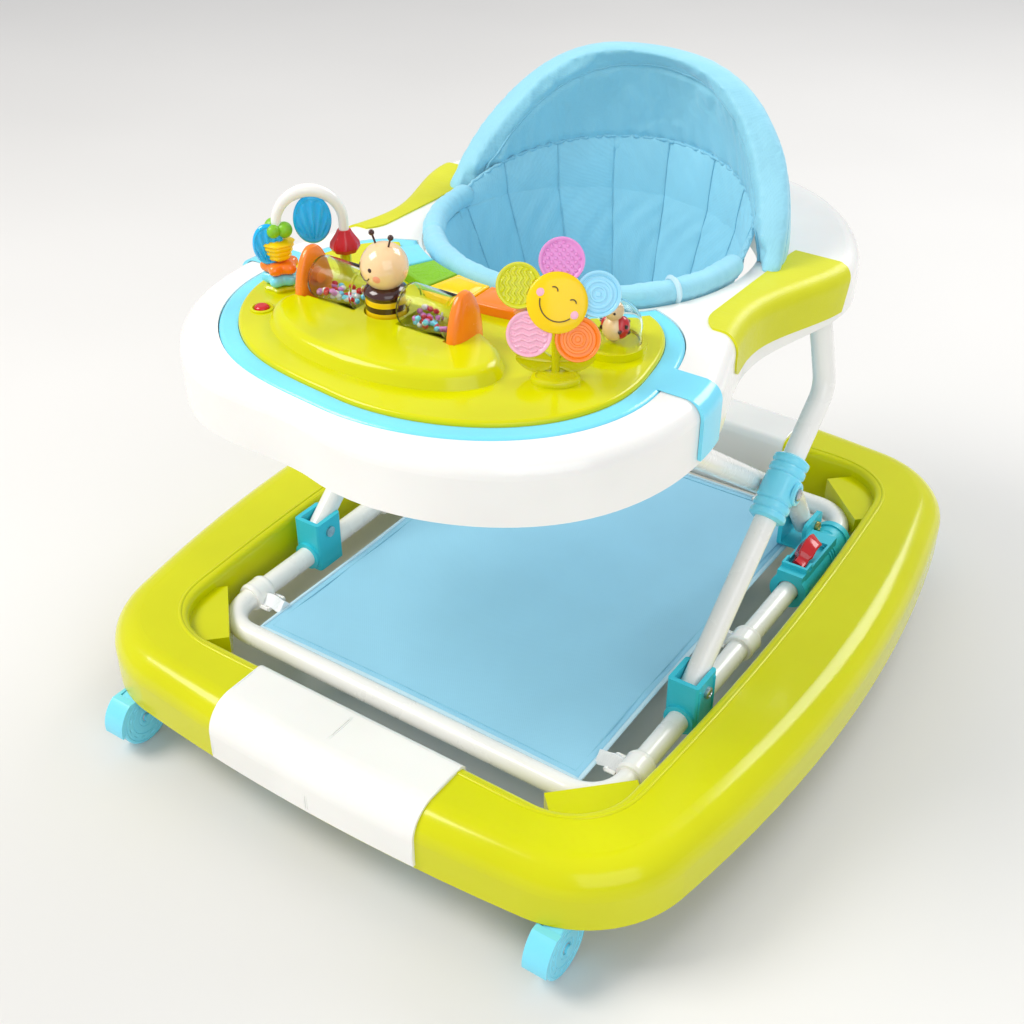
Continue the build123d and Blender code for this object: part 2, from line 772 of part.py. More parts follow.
def roller_posts():
    # an end cap, a stub axle and a thin inner post for each drum, one moulding
    posts = []
    for drum_x, cap_x in zip((drum_left_x, drum_right_x), cap_places()):
        inward = math.copysign(1, drum_x - cap_x)
        inner = drum_x + inward * (drum_half + 1)
        axle = bar_x(min(cap_x, inner), max(cap_x, inner), drum_y, drum_z, roller_axle_r)
        post = block(inner, inner + inward * 1.2, drum_y - 4, drum_y + 4, island_top, drum_z + 4)
        posts.append(cap_solid(cap_x, 0) + axle + post)
    return Compound(children=posts)


def drum(x):
    body = bar_x(x - drum_half, x + drum_half, drum_y, drum_z, drum_r)
    body = fillet(body.edges().filter_by(GeomType.CIRCLE), 3)
    return body - bar_x(x - drum_half - 1, x + drum_half + 1, drum_y, drum_z, roller_axle_r + run_gap)


def bee():
    body = upright(bee_x, drum_y, panel_top + 1.4, bee_top, bee_r)
    body = fillet(body.edges().filter_by(GeomType.CIRCLE).sort_by(Axis.Z)[-1], 6)
    head = Pos(bee_x, drum_y, bee_head_z) * Sphere(bee_head_r)
    return body + head


def button():
    top = upright(button_x, button_y, panel_seat + button_travel + 0.2, panel_top + 3, button_r)
    return fillet(top.edges().filter_by(GeomType.CIRCLE).sort_by(Axis.Z)[-1], 2.5)


def arch():
    mid_x = (arch_ax + arch_bx) / 2
    mid_y = (arch_ay + arch_by) / 2
    span = math.hypot(arch_bx - arch_ax, arch_by - arch_ay) / 2
    foot = panel_top
    left = rod((arch_ax, arch_ay, foot), (arch_ax, arch_ay, arch_spring_z), arch_r)
    right = rod((arch_bx, arch_by, foot), (arch_bx, arch_by, arch_spring_z), arch_r)
    path = ThreePointArc((arch_ax, arch_ay, arch_spring_z), (mid_x, mid_y, arch_spring_z + span),
                         (arch_bx, arch_by, arch_spring_z))
    bow = sweep(Plane(origin=path @ 0, z_dir=path % 0) * Circle(arch_r), path)
    base = upright(arch_ax, arch_ay, foot, foot + 3, 11) + upright(arch_bx, arch_by, foot, foot + 6, 10)
    knob = upright(arch_bx, arch_by, foot + 30, foot + 45, 10)
    knob = fillet(knob.edges().filter_by(GeomType.CIRCLE), 3)
    return left + right + bow + base + knob


def bead_ring(z0, z1, radius):
    body = upright(arch_ax, arch_ay, z0, z1, radius)
    body = fillet(body.edges().filter_by(GeomType.CIRCLE), 2)
    return body - upright(arch_ax, arch_ay, z0 - 1, z1 + 1, arch_r + 0.1)


def arch_stars():
    return Compound(children=[bead_ring(arch_foot_z + 4, arch_foot_z + 13, 13),
                              bead_ring(arch_foot_z + 14, arch_foot_z + 23, 13)])


def arch_beads():
    stack = [bead_ring(arch_foot_z + 25, arch_foot_z + 41, 10), bead_ring(arch_foot_z + 42, arch_foot_z + 52, 9)]
    return Compound(children=stack)


def flower_plane():
    turn = math.radians(flower_turn)
    tilt = math.radians(flower_tilt)
    facing = (math.sin(turn) * math.cos(tilt), -math.cos(turn) * math.cos(tilt), math.sin(tilt))
    return Plane(origin=(flower_x, flower_y, flower_z), x_dir=(math.cos(turn), math.sin(turn), 0), z_dir=facing)


def flower_stem():
    foot = extrude(Pos(flower_x, flower_y, panel_top) * Ellipse(17, 12), 4)
    foot = fillet(foot.faces().sort_by(Axis.Z)[-1].edges(), 1.5)
    back = flower_plane().offset(-9).origin
    stem = rod((back.X, back.Y, panel_top + 3), (back.X, back.Y, flower_z - 4), 3.5)
    hub = flower_plane().offset(-13) * Cylinder(3, 12, align=(Align.CENTER, Align.CENTER, Align.MIN))
    leaves = Pos(back.X, back.Y, panel_top + 20) * Rot(0, 0, flower_turn) * Box(46, 3, 22)
    return foot + stem + hub + leaves


def flower_head():
    face = flower_plane() * Pos(0, 0, -2) * Cylinder(flower_face_r, 8, align=(Align.CENTER, Align.CENTER, Align.MIN))
    head = face
    for i in range(5):
        around = math.radians(90 + 72 * i)
        spot = Pos(petal_reach * math.cos(around), petal_reach * math.sin(around), -1)
        petal = flower_plane() * spot * Cylinder(petal_r, 4, align=(Align.CENTER, Align.CENTER, Align.MIN))
        head = head + petal
    bore = flower_plane() * Pos(0, 0, -3) * Cylinder(3 + run_gap, 4, align=(Align.CENTER, Align.CENTER, Align.MIN))
    return head - bore


def dome_profile(radius, low, rise):
    # an upright wall with a quarter-round crown, turned about the dome's axis
    crown = CenterArc((0, low + rise), radius, 0, 90)
    loop = [Line((0, low), (radius, low)), Line((radius, low), (radius, low + rise)), crown,
            Line((0, low + rise + radius), (0, low))]
    return Pos(dome_x, dome_y, 0) * revolve(Plane.XZ * make_face(loop), Axis.Z, 360)


def dome():
    return dome_profile(dome_r, dome_base, 12) - dome_profile(dome_r - dome_wall, dome_base - 0.01, 12)


def dome_collar():
    ring = upright(dome_x, dome_y, panel_top, collar_top, dome_r + collar_extra)
    well = upright(dome_x, dome_y, dome_base, collar_top + 1, dome_r)
    return ring - well


def ladybug():
    base = dome_base + 0.4
    body = Pos(dome_x, dome_y, base + 11) * Sphere(11)
    head = Pos(dome_x, dome_y, base + 24) * Sphere(6)
    return body + head


# ---------------------------------------------------------------- every sub-part
SIDES = (("left", -1), ("right", 1))
CORNERS = (("front_left", -1, -1), ("front_right", 1, -1), ("rear_left", -1, 1), ("rear_right", 1, 1))

save("base_ring", base_ring())
save("front_stopper_pad", stopper_pad(-1))
save("rear_stopper_pad", stopper_pad(1))
save("anti_slip_strips", grip_strips())
save("front_cross_tube", cross_tube(-1))
save("rear_cross_tube", cross_tube(1))
save("foot_mat", foot_mat())
save("mat_collars", mat_collars())
save("mat_tabs", mat_tabs())
save("bracket_pins", bracket_pins())
save("cross_barrels", cross_barrels())
save("cross_pins", cross_pins())
save("leg_b_crossbar", leg_b_crossbar())
save("slide_pins", slide_pins())
for label, side in SIDES:
    save("side_tube_" + label, side_tube(side))
    save("leg_bracket_" + label, leg_bracket(side))
    save("leg_a_" + label, leg_a(side))
    save("leg_b_" + label, leg_b(side))
    save("slider_" + label, slider(side))
    save("latch_" + label, latch(side))
    save("grip_panel_" + label, grip_panel(side))
for label, sx, sy in CORNERS:
    save("caster_hood_" + label, caster_hood(sx, sy))
    save("caster_wheel_" + label, caster_wheel(sx, sy))
save("tray_shell", tray_shell())
save("tray_brackets", Compound(children=tray_rails() + hinge_blocks()))
save("hinge_pins", hinge_pins())
save("seat_sling", seat_sling())
save("rim_roll", rim_roll())
save("backrest", backrest())
save("tray_trim", tray_trim())
save("play_panel", play_panel())
save("roller_posts", roller_posts())
save("drum_left", drum(drum_left_x))
save("drum_right", drum(drum_right_x))
save("bee", bee())
save("button", button())
save("arch", arch())
save("arch_stars", arch_stars())
save("arch_beads", arch_beads())
save("flower_stem", flower_stem())
save("flower_head", flower_head())
save("dome", dome())
save("ladybug", ladybug())
for number, angle in enumerate(key_angles(), 1):
    save("key_" + str(number), key(angle))
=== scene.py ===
import math

import bmesh
import bpy
import numpy as np
from bpy.props import FloatProperty, FloatVectorProperty, IntProperty, PointerProperty
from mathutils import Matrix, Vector


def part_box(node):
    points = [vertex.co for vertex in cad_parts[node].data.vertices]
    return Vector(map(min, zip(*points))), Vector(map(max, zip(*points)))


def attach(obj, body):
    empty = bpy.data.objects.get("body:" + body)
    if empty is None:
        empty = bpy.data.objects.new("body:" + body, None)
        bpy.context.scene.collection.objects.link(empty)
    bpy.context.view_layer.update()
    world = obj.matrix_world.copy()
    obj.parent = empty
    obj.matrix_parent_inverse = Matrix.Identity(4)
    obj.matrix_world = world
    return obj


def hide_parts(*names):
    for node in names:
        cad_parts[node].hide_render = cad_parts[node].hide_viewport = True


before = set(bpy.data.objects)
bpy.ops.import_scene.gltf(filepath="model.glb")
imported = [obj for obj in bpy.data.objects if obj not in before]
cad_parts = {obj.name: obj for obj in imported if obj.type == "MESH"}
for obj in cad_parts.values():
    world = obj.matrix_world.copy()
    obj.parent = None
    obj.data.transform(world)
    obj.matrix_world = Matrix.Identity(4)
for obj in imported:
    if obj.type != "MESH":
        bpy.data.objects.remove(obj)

bl_info = {
    "name": "Baby Walker",
    "version": (1, 0, 0),
    "blender": (4, 5, 0),
    "location": "View3D > Sidebar > Baby Walker",
    "description": "Dresses a baby walker's frame with its cloth, toys, trim and finishes",
    "category": "Add Mesh",
}

# Shapes below are worked out in millimetres, in the frame's axes, and written to meshes in metres.
MM = 0.001
WELD = 1e-6                      # points nearer than this, in metres, become one
FULL_TURN = 2 * math.pi
CORNERS = ("front_left", "front_right", "rear_left", "rear_right")
SIDES = (("left", -1), ("right", 1))
TUBE_X = 208.0                   # middle of a side tube
TUBE_Z = 81.0                    # height of the base's tubes
PANEL_Z = 413.0                  # the play panel's surface, which the toys stand on
TOY_ROW_Y = -186.0               # the row of the drums and the bee
DRUM_Z = 436.0                   # the drums' axis


def box_mm(node):
    low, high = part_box(node)
    return np.array(low) / MM, np.array(high) / MM


def srgb(red, green, blue):
    """A paint shade from 0 to 255, as linear light: the usual screen curve undone."""
    shade = np.array([red, green, blue]) / 255
    return tuple(np.where(shade <= 0.04045, shade / 12.92, ((shade + 0.055) / 1.055) ** 2.4))


def colour_prop(label, shade, text):
    return FloatVectorProperty(name=label, description=text, subtype="COLOR", size=3, min=0, max=1,
                               default=srgb(*shade))


def count_prop(label, value, least, text):
    return IntProperty(name=label, description=text, default=value, min=least)


def size_prop(label, value, least, text):
    return FloatProperty(name=label, description=text, default=value, min=least)


# ---------------------------------------------------------------- settings
class WalkerColours(bpy.types.PropertyGroup):
    """Paint, plastic and cloth shades."""
    lime: colour_prop("Lime", (212, 212, 0), "Base ring, play panel, grips and leaves")
    white: colour_prop("White", (244, 242, 236), "Tray, stopper pads and tubes")
    sky: colour_prop("Sky", (124, 222, 246), "Trim, casters and barrels")
    teal: colour_prop("Teal", (52, 196, 214), "Brackets and sliders")
    red: colour_prop("Red", (205, 18, 28), "Latches, button and knob")
    orange: colour_prop("Orange", (252, 132, 24), "Fins, star bead and a key")
    yellow: colour_prop("Yellow", (250, 208, 12), "Flower face, crown bead and a key")
    green: colour_prop("Green", (130, 195, 30), "Textured key and lobed bead")
    cloth: colour_prop("Seat cloth", (150, 214, 234), "Sling, roll and backrest")
    mat: colour_prop("Mat cloth", (150, 208, 232), "Foot mat")
    brown: colour_prop("Brown", (62, 24, 16), "Bee's bands and drawn lines")
    skin: colour_prop("Wood tan", (246, 208, 158), "Bee's and ladybug's heads")


class WalkerSizes(bpy.types.PropertyGroup):
    """Sizes of the dressing that a maker would change."""
    channels: count_prop("Sling channels", 16, 6, "Sewn channels round the sling")
    sling_puff: size_prop("Sling puff (mm)", 3.2, 0, "How far a channel swells")
    piping: size_prop("Piping (mm)", 1.3, 0.2, "Radius of the backrest's piping")
    band: size_prop("Band (mm)", 30.0, 5, "Width of the backrest's outer band")
    stitch: size_prop("Stitch (mm)", 3.6, 1, "Pitch of a sewn line")
    barrel_ribs: count_prop("Barrel ribs", 7, 2, "Ribs on each crossing barrel")
    beads: count_prop("Beads", 46, 4, "Loose beads in each drum")
    wheel_dashes: count_prop("Wheel dashes", 12, 3, "Sunk dashes on a wheel disc")


def sizes():
    return bpy.context.scene.walker_sizes


def colours():
    return bpy.context.scene.walker_colours


# ---------------------------------------------------------------- shells: (points, faces) pairs
def grid_faces(rows, columns, wrap_rows=False, wrap_columns=False):
    """Quads between neighbouring rows and columns of a grid of points, closed on itself where it wraps."""
    i = np.arange(rows if wrap_rows else rows - 1)[:, None]
    j = np.arange(columns if wrap_columns else columns - 1)[None, :]
    i_next = (i + 1) % rows
    j_next = (j + 1) % columns
    here = i * columns
    ahead = i_next * columns
    quads = np.stack([here + j, ahead + j, ahead + j_next, here + j_next], -1)
    return quads.reshape(-1, 4).tolist()


def grid_shell(points, wrap_rows=False, wrap_columns=False, caps=(False, False)):
    """A surface through a grid of points, with a fan to the middle of its first and last row where capped."""
    points = np.asarray(points, float)
    rows, columns = points.shape[:2]
    verts = points.reshape(-1, 3)
    faces = grid_faces(rows, columns, wrap_rows, wrap_columns)
    for row, capped in ((0, caps[0]), (rows - 1, caps[1])):
        if capped:
            hub = len(verts)
            verts = np.vstack([verts, points[row].mean(0)])
            ring = row * columns + np.arange(columns)
            faces += np.stack([ring, np.roll(ring, -1), np.full(columns, hub)], -1).tolist()
    return verts, faces


def joined(*shells):
    verts, faces = [], []
    for points, polygons in shells:
        start = sum(len(v) for v in verts)
        verts.append(points)
        faces += [[start + k for k in polygon] for polygon in polygons]
    return np.vstack(verts), faces


def moved(shell, offset):
    return shell[0] + np.asarray(offset, float), shell[1]


def mirrored(shell):
    """The same shell on the other side of the middle plane."""
    return shell[0] * (-1, 1, 1), shell[1]


def turned(shell, x_axis, y_axis, z_axis, origin):
    """A shell drawn about its own axes, set along three given directions at an origin."""
    axes = np.array([x_axis, y_axis, z_axis], float)
    return shell[0] @ axes + np.asarray(origin, float), shell[1]


def on_x(shell, place):
    """A shell turned about Z, laid with that axis along X at a place."""
    return turned(shell, (0, 1, 0), (0, 0, 1), (1, 0, 0), place)


def frame_along(path, up, closed=False):
    """Side and up directions at each point of a path: side is the tangent crossed with a fixed up."""
    if closed:
        tangent = np.roll(path, -1, 0) - np.roll(path, 1, 0)
    else:
        tangent = np.gradient(path, axis=0)
    tangent = tangent / np.linalg.norm(tangent, axis=1, keepdims=True)
    side = np.cross(tangent, up)
    side = side / np.linalg.norm(side, axis=1, keepdims=True)
    return side, np.cross(side, tangent)


def swept(path, section, up=(0, 0, 1), closed=False, capped=True, scale=1.0):
    """A section (k, 2) carried along a path (n, 3): point = path + side * x * scale + up * y * scale."""
    path = np.asarray(path, float)
    side, lift = frame_along(path, np.asarray(up, float), closed)
    scale = np.broadcast_to(scale, (len(path),))[:, None, None]
    section = np.asarray(section, float)
    grid = (path[:, None] + side[:, None] * section[None, :, :1] * scale
            + lift[:, None] * section[None, :, 1:] * scale)
    ends = (capped and not closed,) * 2
    return grid_shell(grid, wrap_rows=closed, wrap_columns=True, caps=ends)


def circle(radius, count=16, flat=1.0):
    """Points on a circle, or an oval where flat scales its second axis."""
    turn = np.linspace(0, FULL_TURN, count, endpoint=False)
    return np.stack([radius * np.cos(turn), radius * flat * np.sin(turn)], -1)


def rounded_bar(width, height, corner, count=5):
    """A rectangle with quarter-round corners, as one loop of points."""
    quarter = np.linspace(0, math.pi / 2, count)
    arc = np.stack([np.cos(quarter), np.sin(quarter)], -1) * corner
    centre = np.array([width / 2 - corner, height / 2 - corner])
    turns = [np.array([[1, 0], [0, 1]]), np.array([[0, 1], [-1, 0]]), np.array([[-1, 0], [0, -1]]),
             np.array([[0, -1], [1, 0]])]
    return np.vstack([(arc + centre) @ turn for turn in turns])


def lathe(profile, sides=48, ripple=None):
    """A profile of (radius, height) turned about Z. ripple(turn, radius, height) gives what both gain."""
    profile = np.asarray(profile, float)
    turn = np.linspace(0, FULL_TURN, sides, endpoint=False)[None, :]
    radius = np.repeat(profile[:, :1], sides, 1)
    height = np.repeat(profile[:, 1:], sides, 1)
    if ripple:
        more_radius, more_height = ripple(turn, radius, height)
        radius = radius + more_radius
        height = height + more_height
    grid = np.stack([radius * np.cos(turn), radius * np.sin(turn), height + 0 * turn], -1)
    return grid_shell(grid, wrap_columns=True, caps=(True, True))


def turned_ring(profile, sides):
    """A closed profile of (radius, height) turned about Z, for a wall with an inside and an outside."""
    profile = np.asarray(profile, float)
    turn = np.linspace(0, FULL_TURN, sides, endpoint=False)[None, :]
    radius = profile[:, :1]
    grid = np.stack([radius * np.cos(turn), radius * np.sin(turn), profile[:, 1:] + 0 * turn], -1)
    return grid_shell(grid, wrap_rows=True, wrap_columns=True)


def grid_rim(points):
    """The outline of a grid of points, as one closed line."""
    return np.vstack([points[:-1, 0], points[-1, :-1], points[:0:-1, -1], points[0, :0:-1]])


def ball(radius, centre, rings=14, sides=24, squash=(1, 1, 1)):
    """A sphere by latitude and longitude, scaled along its axes."""
    lat = np.linspace(-math.pi / 2 + 0.12, math.pi / 2 - 0.12, rings)
    points, faces = lathe(np.stack([np.cos(lat), np.sin(lat)], -1) * radius, sides)
    return points * squash + np.asarray(centre, float), faces


def arc_points(centre, radius, start, end, count):
    """Points (x, y) on an arc from start to end degrees."""
    turn = np.radians(np.linspace(start, end, count))
    return np.stack([centre[0] + radius * np.cos(turn), centre[1] + radius * np.sin(turn)], -1)


def eased(line, passes):
    """An open line averaged with its neighbours, its two ends held."""
    for _ in range(passes):
        line[1:-1] = (line[:-2] + 2 * line[1:-1] + line[2:]) / 4
    return line


def eased_loop(line, passes):
    """A closed line averaged with its neighbours."""
    for _ in range(passes):
        line = (np.roll(line, -1, 0) + 2 * line + np.roll(line, 1, 0)) / 4
    return line


def smooth_path(points, count):
    """A smooth line near hand-set points: the path is resampled evenly, then eased."""
    points = np.asarray(points, float)
    steps = np.linspace(0, len(points) - 1, count)
    marks = np.arange(len(points))
    line = np.stack([np.interp(steps, marks, points[:, k]) for k in range(points.shape[1])], -1)
    return eased(line, max(4, count // 8))


# ---------------------------------------------------------------- pieces
def piece(name, shell, body, material, replaces=(), sharp=35):
    """Writes a shell as an object on a body: faces outwards, edges sharper than an angle kept."""
    points, faces = shell
    mesh = bpy.data.meshes.new(name)
    mesh.from_pydata((np.asarray(points) * MM).tolist(), [], faces)
    work = bmesh.new()
    work.from_mesh(mesh)
    bmesh.ops.remove_doubles(work, verts=work.verts, dist=WELD)
    bmesh.ops.recalc_face_normals(work, faces=work.faces)
    work.to_mesh(mesh)
    work.free()
    obj = bpy.data.objects.new(name, mesh)
    bpy.context.scene.collection.objects.link(obj)
    return dressed(obj, body, material, replaces, sharp)


def dressed(obj, body, material, replaces=(), sharp=35, subdivide=0):
    mesh = obj.data
    mesh.shade_smooth()
    if sharp < 180:
        mesh.set_sharp_from_angle(angle=math.radians(sharp))
    mesh.materials.clear()
    mesh.materials.append(material)
    if subdivide:
        finer = obj.modifiers.new("Subdivision", "SUBSURF")
        finer.levels = subdivide
        finer.render_levels = subdivide
    if body:
        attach(obj, body)
    if replaces:
        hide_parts(*replaces)
    return obj


def applied(obj):
    """Makes an object's modifiers part of its mesh."""
    bpy.context.view_layer.update()
    graph = bpy.context.evaluated_depsgraph_get()
    mesh = bpy.data.meshes.new_from_object(obj.evaluated_get(graph))
    old = obj.data
    obj.modifiers.clear()
    obj.data = mesh
    bpy.data.meshes.remove(old)
    return obj


def coords(obj):
    points = np.zeros(len(obj.data.vertices) * 3)
    obj.data.vertices.foreach_get("co", points)
    return points.reshape(-1, 3) / MM


def set_coords(obj, points):
    obj.data.vertices.foreach_set("co", (points * MM).ravel())
    obj.data.update()


def plumped(obj, cap, pressure=4.0, voxel=4.5, frames=20):
    """Swells a closed form as sewn cloth under pressure: remesh, cloth, then each point's move is capped."""
    remesh = obj.modifiers.new("Remesh", "REMESH")
    remesh.mode = "VOXEL"
    remesh.voxel_size = voxel * MM
    applied(obj)
    rest = coords(obj)
    scene = bpy.context.scene
    cloth = obj.modifiers.new("Cloth", "CLOTH")
    cloth.settings.use_pressure = True
    cloth.settings.uniform_pressure_force = pressure
    cloth.settings.effector_weights.gravity = 0
    cloth.settings.quality = 5
    cloth.point_cache.frame_start = 1
    cloth.point_cache.frame_end = frames
    for step in range(1, frames + 1):
        scene.frame_set(step)
    applied(obj)
    scene.frame_set(1)
    shift = coords(obj) - rest
    length = np.linalg.norm(shift, axis=1, keepdims=True)
    set_coords(obj, rest + shift * np.minimum(1, cap / np.maximum(length, 1e-6)))
    return obj


def cut_by(obj, shape, operation):
    """Adds a boolean by a capped shape, and gives back the cutter, to remove once it is applied."""
    cutter = piece("cutter", grid_shell(np.stack(shape), wrap_columns=True, caps=(True, True)), None,
                   obj.data.materials[0])
    cut = obj.modifiers.new("Cut", "BOOLEAN")
    cut.operation = operation
    cut.solver = "EXACT"
    cut.object = cutter
    return cutter


# ---------------------------------------------------------------- materials
class Finish:
    """A Principled material with short ways to add the nodes that its detail needs."""

    def __init__(self, name, colour, roughness, **sockets):
        self.material = bpy.data.materials.new(name)
        self.material.use_nodes = True
        self.tree = self.material.node_tree
        self.shader = self.tree.nodes["Principled BSDF"]
        self.colour = tuple(colour)
        self.shader.inputs["Base Color"].default_value = (*colour, 1)
        self.shader.inputs["Roughness"].default_value = roughness
        self.roughness = roughness
        for socket, value in sockets.items():
            self.shader.inputs[socket.replace("_", " ")].default_value = value
        self.place = self.tree.nodes.new("ShaderNodeTexCoord").outputs["Object"]
        self.normal = None
        self.material.diffuse_color = (*colour, 1)

    def node(self, kind, **values):
        made = self.tree.nodes.new("ShaderNode" + kind)
        for key, value in values.items():
            if hasattr(made, key):
                setattr(made, key, value)
            else:
                made.inputs[key.replace("_", " ")].default_value = value
        return made

    def link(self, source, target):
        self.tree.links.new(source, target)

    def mapped(self, scale=(1, 1, 1), rotation=(0, 0, 0)):
        mapping = self.node("Mapping")
        mapping.inputs["Scale"].default_value = scale
        mapping.inputs["Rotation"].default_value = rotation
        self.link(self.place, mapping.inputs["Vector"])
        return mapping.outputs["Vector"]

    def noise(self, scale, detail=3.0, stretch=(1, 1, 1), rough=0.55):
        made = self.node("TexNoise", Scale=scale, Detail=detail, Roughness=rough)
        self.link(self.mapped(stretch), made.inputs["Vector"])
        return made.outputs["Fac"]

    def wave(self, scale, direction, rotation):
        made = self.node("TexWave", bands_direction=direction, Scale=scale, Distortion=0.0)
        self.link(self.mapped(rotation=rotation), made.inputs["Vector"])
        return made.outputs["Fac"]

    def ramp(self, value, low, high, first, last):
        made = self.node("MapRange")
        made.inputs["From Min"].default_value = low
        made.inputs["From Max"].default_value = high
        made.inputs["To Min"].default_value = first
        made.inputs["To Max"].default_value = last
        self.link(value, made.inputs["Value"])
        return made.outputs["Result"]

    def math(self, operation, first, second):
        made = self.node("Math", operation=operation)
        for slot, value in enumerate((first, second)):
            if isinstance(value, (int, float)):
                made.inputs[slot].default_value = value
            else:
                self.link(value, made.inputs[slot])
        return made.outputs["Value"]

    def mix(self, factor, first, second):
        made = self.node("Mix", data_type="RGBA")
        self.link(factor, made.inputs["Factor"])
        for socket, value in ((made.inputs[6], first), (made.inputs[7], second)):
            if isinstance(value, bpy.types.NodeSocket):
                self.link(value, socket)
            else:
                socket.default_value = (*value, 1)
        return made.outputs[2]

    def shade(self, amount=0.06, scale=14.0):
        """Faint broad change of tone across the surface."""
        colour = np.array(self.colour)
        tone = self.ramp(self.noise(scale, 2.0), 0.3, 0.7, 0, 1)
        mixed = self.mix(tone, tuple(colour * (1 - amount)), tuple(np.minimum(colour * (1 + amount), 1)))
        self.link(mixed, self.shader.inputs["Base Color"])
        return mixed

    def gloss(self, spread=0.08, scale=40.0, stretch=(1, 6, 6)):
        """Fine handling marks: roughness drifts along stretched streaks."""
        streak = self.ramp(self.noise(scale, 5.0, stretch, 0.65), 0.35, 0.7,
                           max(self.roughness - spread / 2, 0.02), self.roughness + spread)
        self.link(streak, self.shader.inputs["Roughness"])

    def bump(self, height, strength, distance=0.001):
        made = self.node("Bump", Strength=strength, Distance=distance)
        self.link(height, made.inputs["Height"])
        if self.normal is not None:
            self.link(self.normal, made.inputs["Normal"])
        self.normal = made.outputs["Normal"]
        self.link(self.normal, self.shader.inputs["Normal"])


def moulded(name, colour, roughness=0.2, grain=0.05, coat=0.25, **sockets):
    """Injection-moulded plastic: faint flow tone, hairline wear in the gloss, and a very fine mould grain."""
    made = Finish(name, colour, roughness, Coat_Weight=coat, Coat_Roughness=0.08,
                  Subsurface_Weight=0.06, Subsurface_Scale=0.004, **sockets)
    made.shade(0.035, 9.0)
    made.gloss(0.07, 26.0)
    made.bump(made.noise(1400, 2.0), grain, 0.0002)
    made.bump(made.noise(22, 2.0), 0.05, 0.002)
    return made.material


def grained(name, colour):
    """Plastic with a raised spark-eroded grain, as on the grips and brackets."""
    made = Finish(name, colour, 0.38)
    made.shade(0.05, 20.0)
    made.gloss(0.1, 60.0)
    cell = made.node("TexVoronoi", Scale=700.0)
    made.link(made.place, cell.inputs["Vector"])
    made.bump(cell.outputs["Distance"], 0.25, 0.0004)
    return made.material


def enamelled(name, colour):
    """Powder-coated steel tube: orange-peel skin and small dull rubs."""
    made = Finish(name, colour, 0.26, Coat_Weight=0.4, Coat_Roughness=0.1)
    made.shade(0.03, 12.0)
    made.gloss(0.06, 14.0, (1, 1, 1))
    made.bump(made.noise(520, 2.0), 0.05, 0.0003)
    return made.material


def plated(name, colour, roughness=0.3):
    """Zinc-plated steel: turned rings and cloudy tone."""
    made = Finish(name, colour, roughness, Metallic=1.0)
    made.shade(0.14, 120.0)
    made.gloss(0.2, 300.0, (1, 12, 12))
    made.bump(made.noise(900, 3.0), 0.2, 0.0003)
    return made.material


def weave_height(made, pitch):
    """Over-and-under threads: waves along two slanted directions, so that it reads on any facing."""
    scale = 0.31 / pitch
    warp = made.wave(scale, "X", (0, 0.6, 0.785))
    weft = made.wave(scale, "Y", (0.6, 0, 0.785))
    return made.math("MULTIPLY", warp, weft)


def woven(name, colour, pitch=0.0011, crease=0.5, crease_scale=34.0, sheen=0.35, worn=0.045):
    """Light padded cloth: fine weave, soft sheen, worn tone and small drag creases."""
    made = Finish(name, colour, 0.62, Sheen_Weight=sheen, Sheen_Roughness=0.4)
    made.shader.inputs["Sheen Tint"].default_value = (0.9, 0.97, 1.0, 1)
    threads = weave_height(made, pitch)
    broad = made.shade(worn, 16.0)
    colour = np.array(colour)
    darker = made.mix(made.ramp(threads, 0, 1, 0.0, 0.35), broad, tuple(colour * 0.86))
    made.link(darker, made.shader.inputs["Base Color"])
    made.bump(threads, 0.25, 0.0004)
    made.bump(made.noise(crease_scale, 4.0, (1, 1, 0.45), 0.6), crease, 0.004)
    return made.material


def clear_plastic(name, tint):
    """Clear moulding with faint flow lines and light scuffs."""
    made = Finish(name, tint, 0.04, Transmission_Weight=1.0, IOR=1.18)
    made.gloss(0.05, 90.0)
    made.bump(made.noise(60, 3.0), 0.08, 0.001)
    return made.material


def banded(name, first, second, middle, half):
    """Gloss paint with one level band: the second shade wherever the height is within half of the middle."""
    made = Finish(name, first, 0.16, Coat_Weight=0.6, Coat_Roughness=0.05)
    split = made.node("SeparateXYZ")
    made.link(made.place, split.inputs["Vector"])
    away = made.math("ABSOLUTE", made.math("SUBTRACT", split.outputs["Z"], middle * MM), 0.0)
    band = made.math("LESS_THAN", away, half * MM)
    mixed = made.mix(band, first, second)
    tone = made.mix(made.ramp(made.noise(30, 2.0), 0.3, 0.7, 0.0, 0.12), mixed, (0.02, 0.01, 0.0))
    made.link(tone, made.shader.inputs["Base Color"])
    made.bump(made.noise(300, 2.0), 0.06, 0.0004)
    return made.material


_finishes = {}


